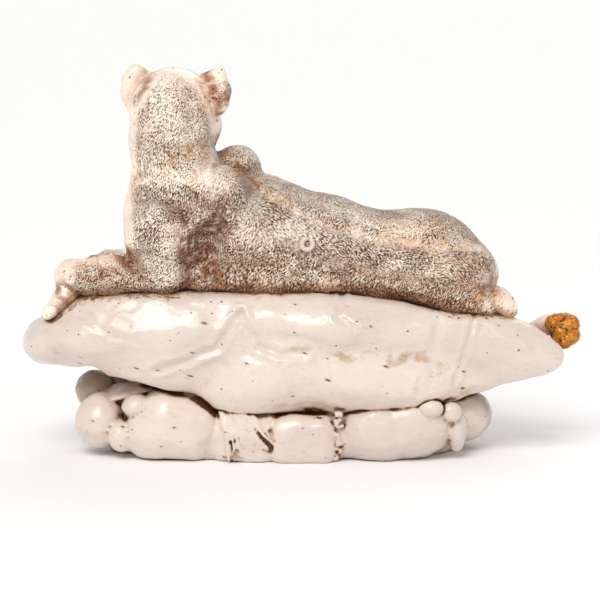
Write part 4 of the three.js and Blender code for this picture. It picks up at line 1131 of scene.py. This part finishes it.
def cub_steps(place, heading, head_turn):
    """One cub: places and girths in hundredths of its length, with its head turned on its shoulders."""
    u = CUB_HUNDREDTH

    def at(x, y, z):
        return turned_about(heading, x * u, y * u, z * u, place)

    def lump(spot, half, lean=(0, 0, 0)):
        return egg(at(*spot), [h * u for h in half], (lean[0], lean[1], lean[2] + heading))

    def leg(spots, thicks):
        return bent_roll([at(*s) for s in spots], [t * u for t in thicks])

    facing = heading + head_turn
    skull_spot = at(30, 0, 40)

    def trait(spot, half, lean=(0, 0, 0)):
        middle = turned_about(facing, spot[0] * u, spot[1] * u, spot[2] * u, skull_spot)
        return egg(middle, [h * u for h in half], (lean[0], lean[1], lean[2] + facing))

    body = leg([(14, 0, 21), (-10, 0, 18), (-28, 0, 17)], [16, 15, 16])
    forelegs = [
        part
        for s in SIDES
        for part in leg([(16, s * 13, 16), (22, s * 14, 7), (42, s * 11, 5.5)], [9, 7, 6])
    ]
    thighs = [lump((-27, s * 14, 12), (17, 10, 13)) for s in SIDES]
    feet = [part for s in SIDES for part in leg([(-26, s * 19, 5.5), (-8, s * 20, 5)], [6, 6])]
    cub_tail = leg([(-44, 3, 14), (-52, 12, 7), (-42, 24, 5)], [5, 4.5, 4.5])
    cub_skull = [trait((0, 0, 0), (17, 19, 16.5)), *[trait((5, s * 10.5, -6), (9, 8.5, 8.5)) for s in SIDES]]
    cub_muzzle = [trait((14, 0, -6), (8.5, 9.5, 6.5)), trait((12, 0, -10.5), (8, 7, 4.2))]
    cub_sockets = [trait((16.4, s * 8.4, 2.6), (3.5, 4.6, 3.2)) for s in SIDES]
    cub_eyes = [trait((13.4, s * 8.2, 2.4), (3.2, 2.6, 2.2)) for s in SIDES]
    cub_nose = [trait((21.4, 0, -2.8), (2.6, 3.8, 2.8))]
    cub_ears = [trait((-3, s * 15.5, 13.5), (4.6, 7.6, 9), (s * -26, 0, 0)) for s in SIDES]
    cub_ear_cups = [trait((1.2, s * 15.7, 13.8), (3.4, 4.8, 6), (s * -26, 0, 0)) for s in SIDES]
    return [
        ("lay", 4, body + thighs + cub_skull),
        ("lay", 2, forelegs + feet + cub_tail),
        ("lay", 1.6, cub_muzzle),
        ("scoop", 1, cub_sockets),
        ("lay", 0.4, cub_eyes + cub_nose),
        ("lay", 1.4, cub_ears),
        ("scoop", 0.8, cub_ear_cups),
    ]


def cub_relief(points):
    return 0.12 * grain(points, 7, 9) + 0.14 * grain(points, (3.4, 2.2, 2.2), 10)


cub_coat = coat_finish("finely gouged coat", 1.6, 0.42)
for cub_name, cub_place, cub_heading, cub_head_turn in (
    ("cub_at_the_belly", (11, 47, 104), 168, -58),
    ("cub_at_the_foreleg", (-68, 44, 107), 22, 62),
):
    steps = cub_steps(cub_place, cub_heading, cub_head_turn)
    clay = Clay(np.add(cub_place, CUB_ROOM[0]), np.add(cub_place, CUB_ROOM[1]), CUB_STEP)
    cub = cast(cub_name, clay.model(steps), cub_relief, cub_coat)
    cub_points = cast_pieces[cub_name][1]
    ones = np.ones(len(cub_points))
    inked = on_lumps(cub_points, steps[EYES_AND_NOSE][2])
    cub_hair = 0.7 - 0.6 * inked
    cut_coat(cub, (cub_hair, np.outer(ones, (1, 0, 0)), 0 * ones, 0 * ones, inked))
    add_to_whole(steps)

# The antique wash: thin brown paint is brushed over the whole casting and wiped off again, so that it stays
# in the creases, under the overhangs and along the line where the animals lie on the rock. Painted shade is
# noted too, in the broad hollows of the animals and on the low stones under the ledge.
TOUCH_NEAR, TOUCH_FAR, TOUCH_WIDE = (1.2, 2.4), (1.2, 2.2, 3.4), (6, 10, 15)
clays = {"boulders": boulder_clay, "rock_ledge": ledge_clay, "tigress": tigress_clay, "tail_tuft": tuft_clay}


def hemmed_in(clay, points, facing, reaches):
    """How close other clay stands in front of the skin: 0 in the open, 1 in a tight crease."""
    return np.mean([np.clip(1 - clay.at(points + facing * h) / h, 0, 1) for h in reaches], axis=0)


for name, (piece, points, facing) in cast_pieces.items():
    crevice_depth = hemmed_in(whole, points, facing, TOUCH_FAR)
    if name in clays:
        tight = hemmed_in(clays[name], points, facing, TOUCH_NEAR)
        crevice_depth = np.maximum(crevice_depth, 0.8 * tight)
    note(piece.data, "crevice", crevice_depth)
    if name.startswith(("tigress", "cub")):
        # Painted shade: how closed in each point of the animals is over a wide reach, for a brown shade in
        # their broad hollows.
        note(piece.data, "hollow_shade", fade(0.05, 0.6, hemmed_in(whole, points, facing, TOUCH_WIDE)))
    if name in ("boulders", "rock_ledge"):
        high = fade(86, 94, points[:, 2])
        note(piece.data, "shelf", high * fade(9, 1.5, tigress_clay.at(points)))
        # Painted shade: rock low down in the middle of the ring's depth, under the ledge, is noted for a
        # brown shade.
        note(piece.data, "shade_under_ledge", (1 - high) * fade(-14, 0, points[:, 1]) * fade(46, 26, points[:, 1]))
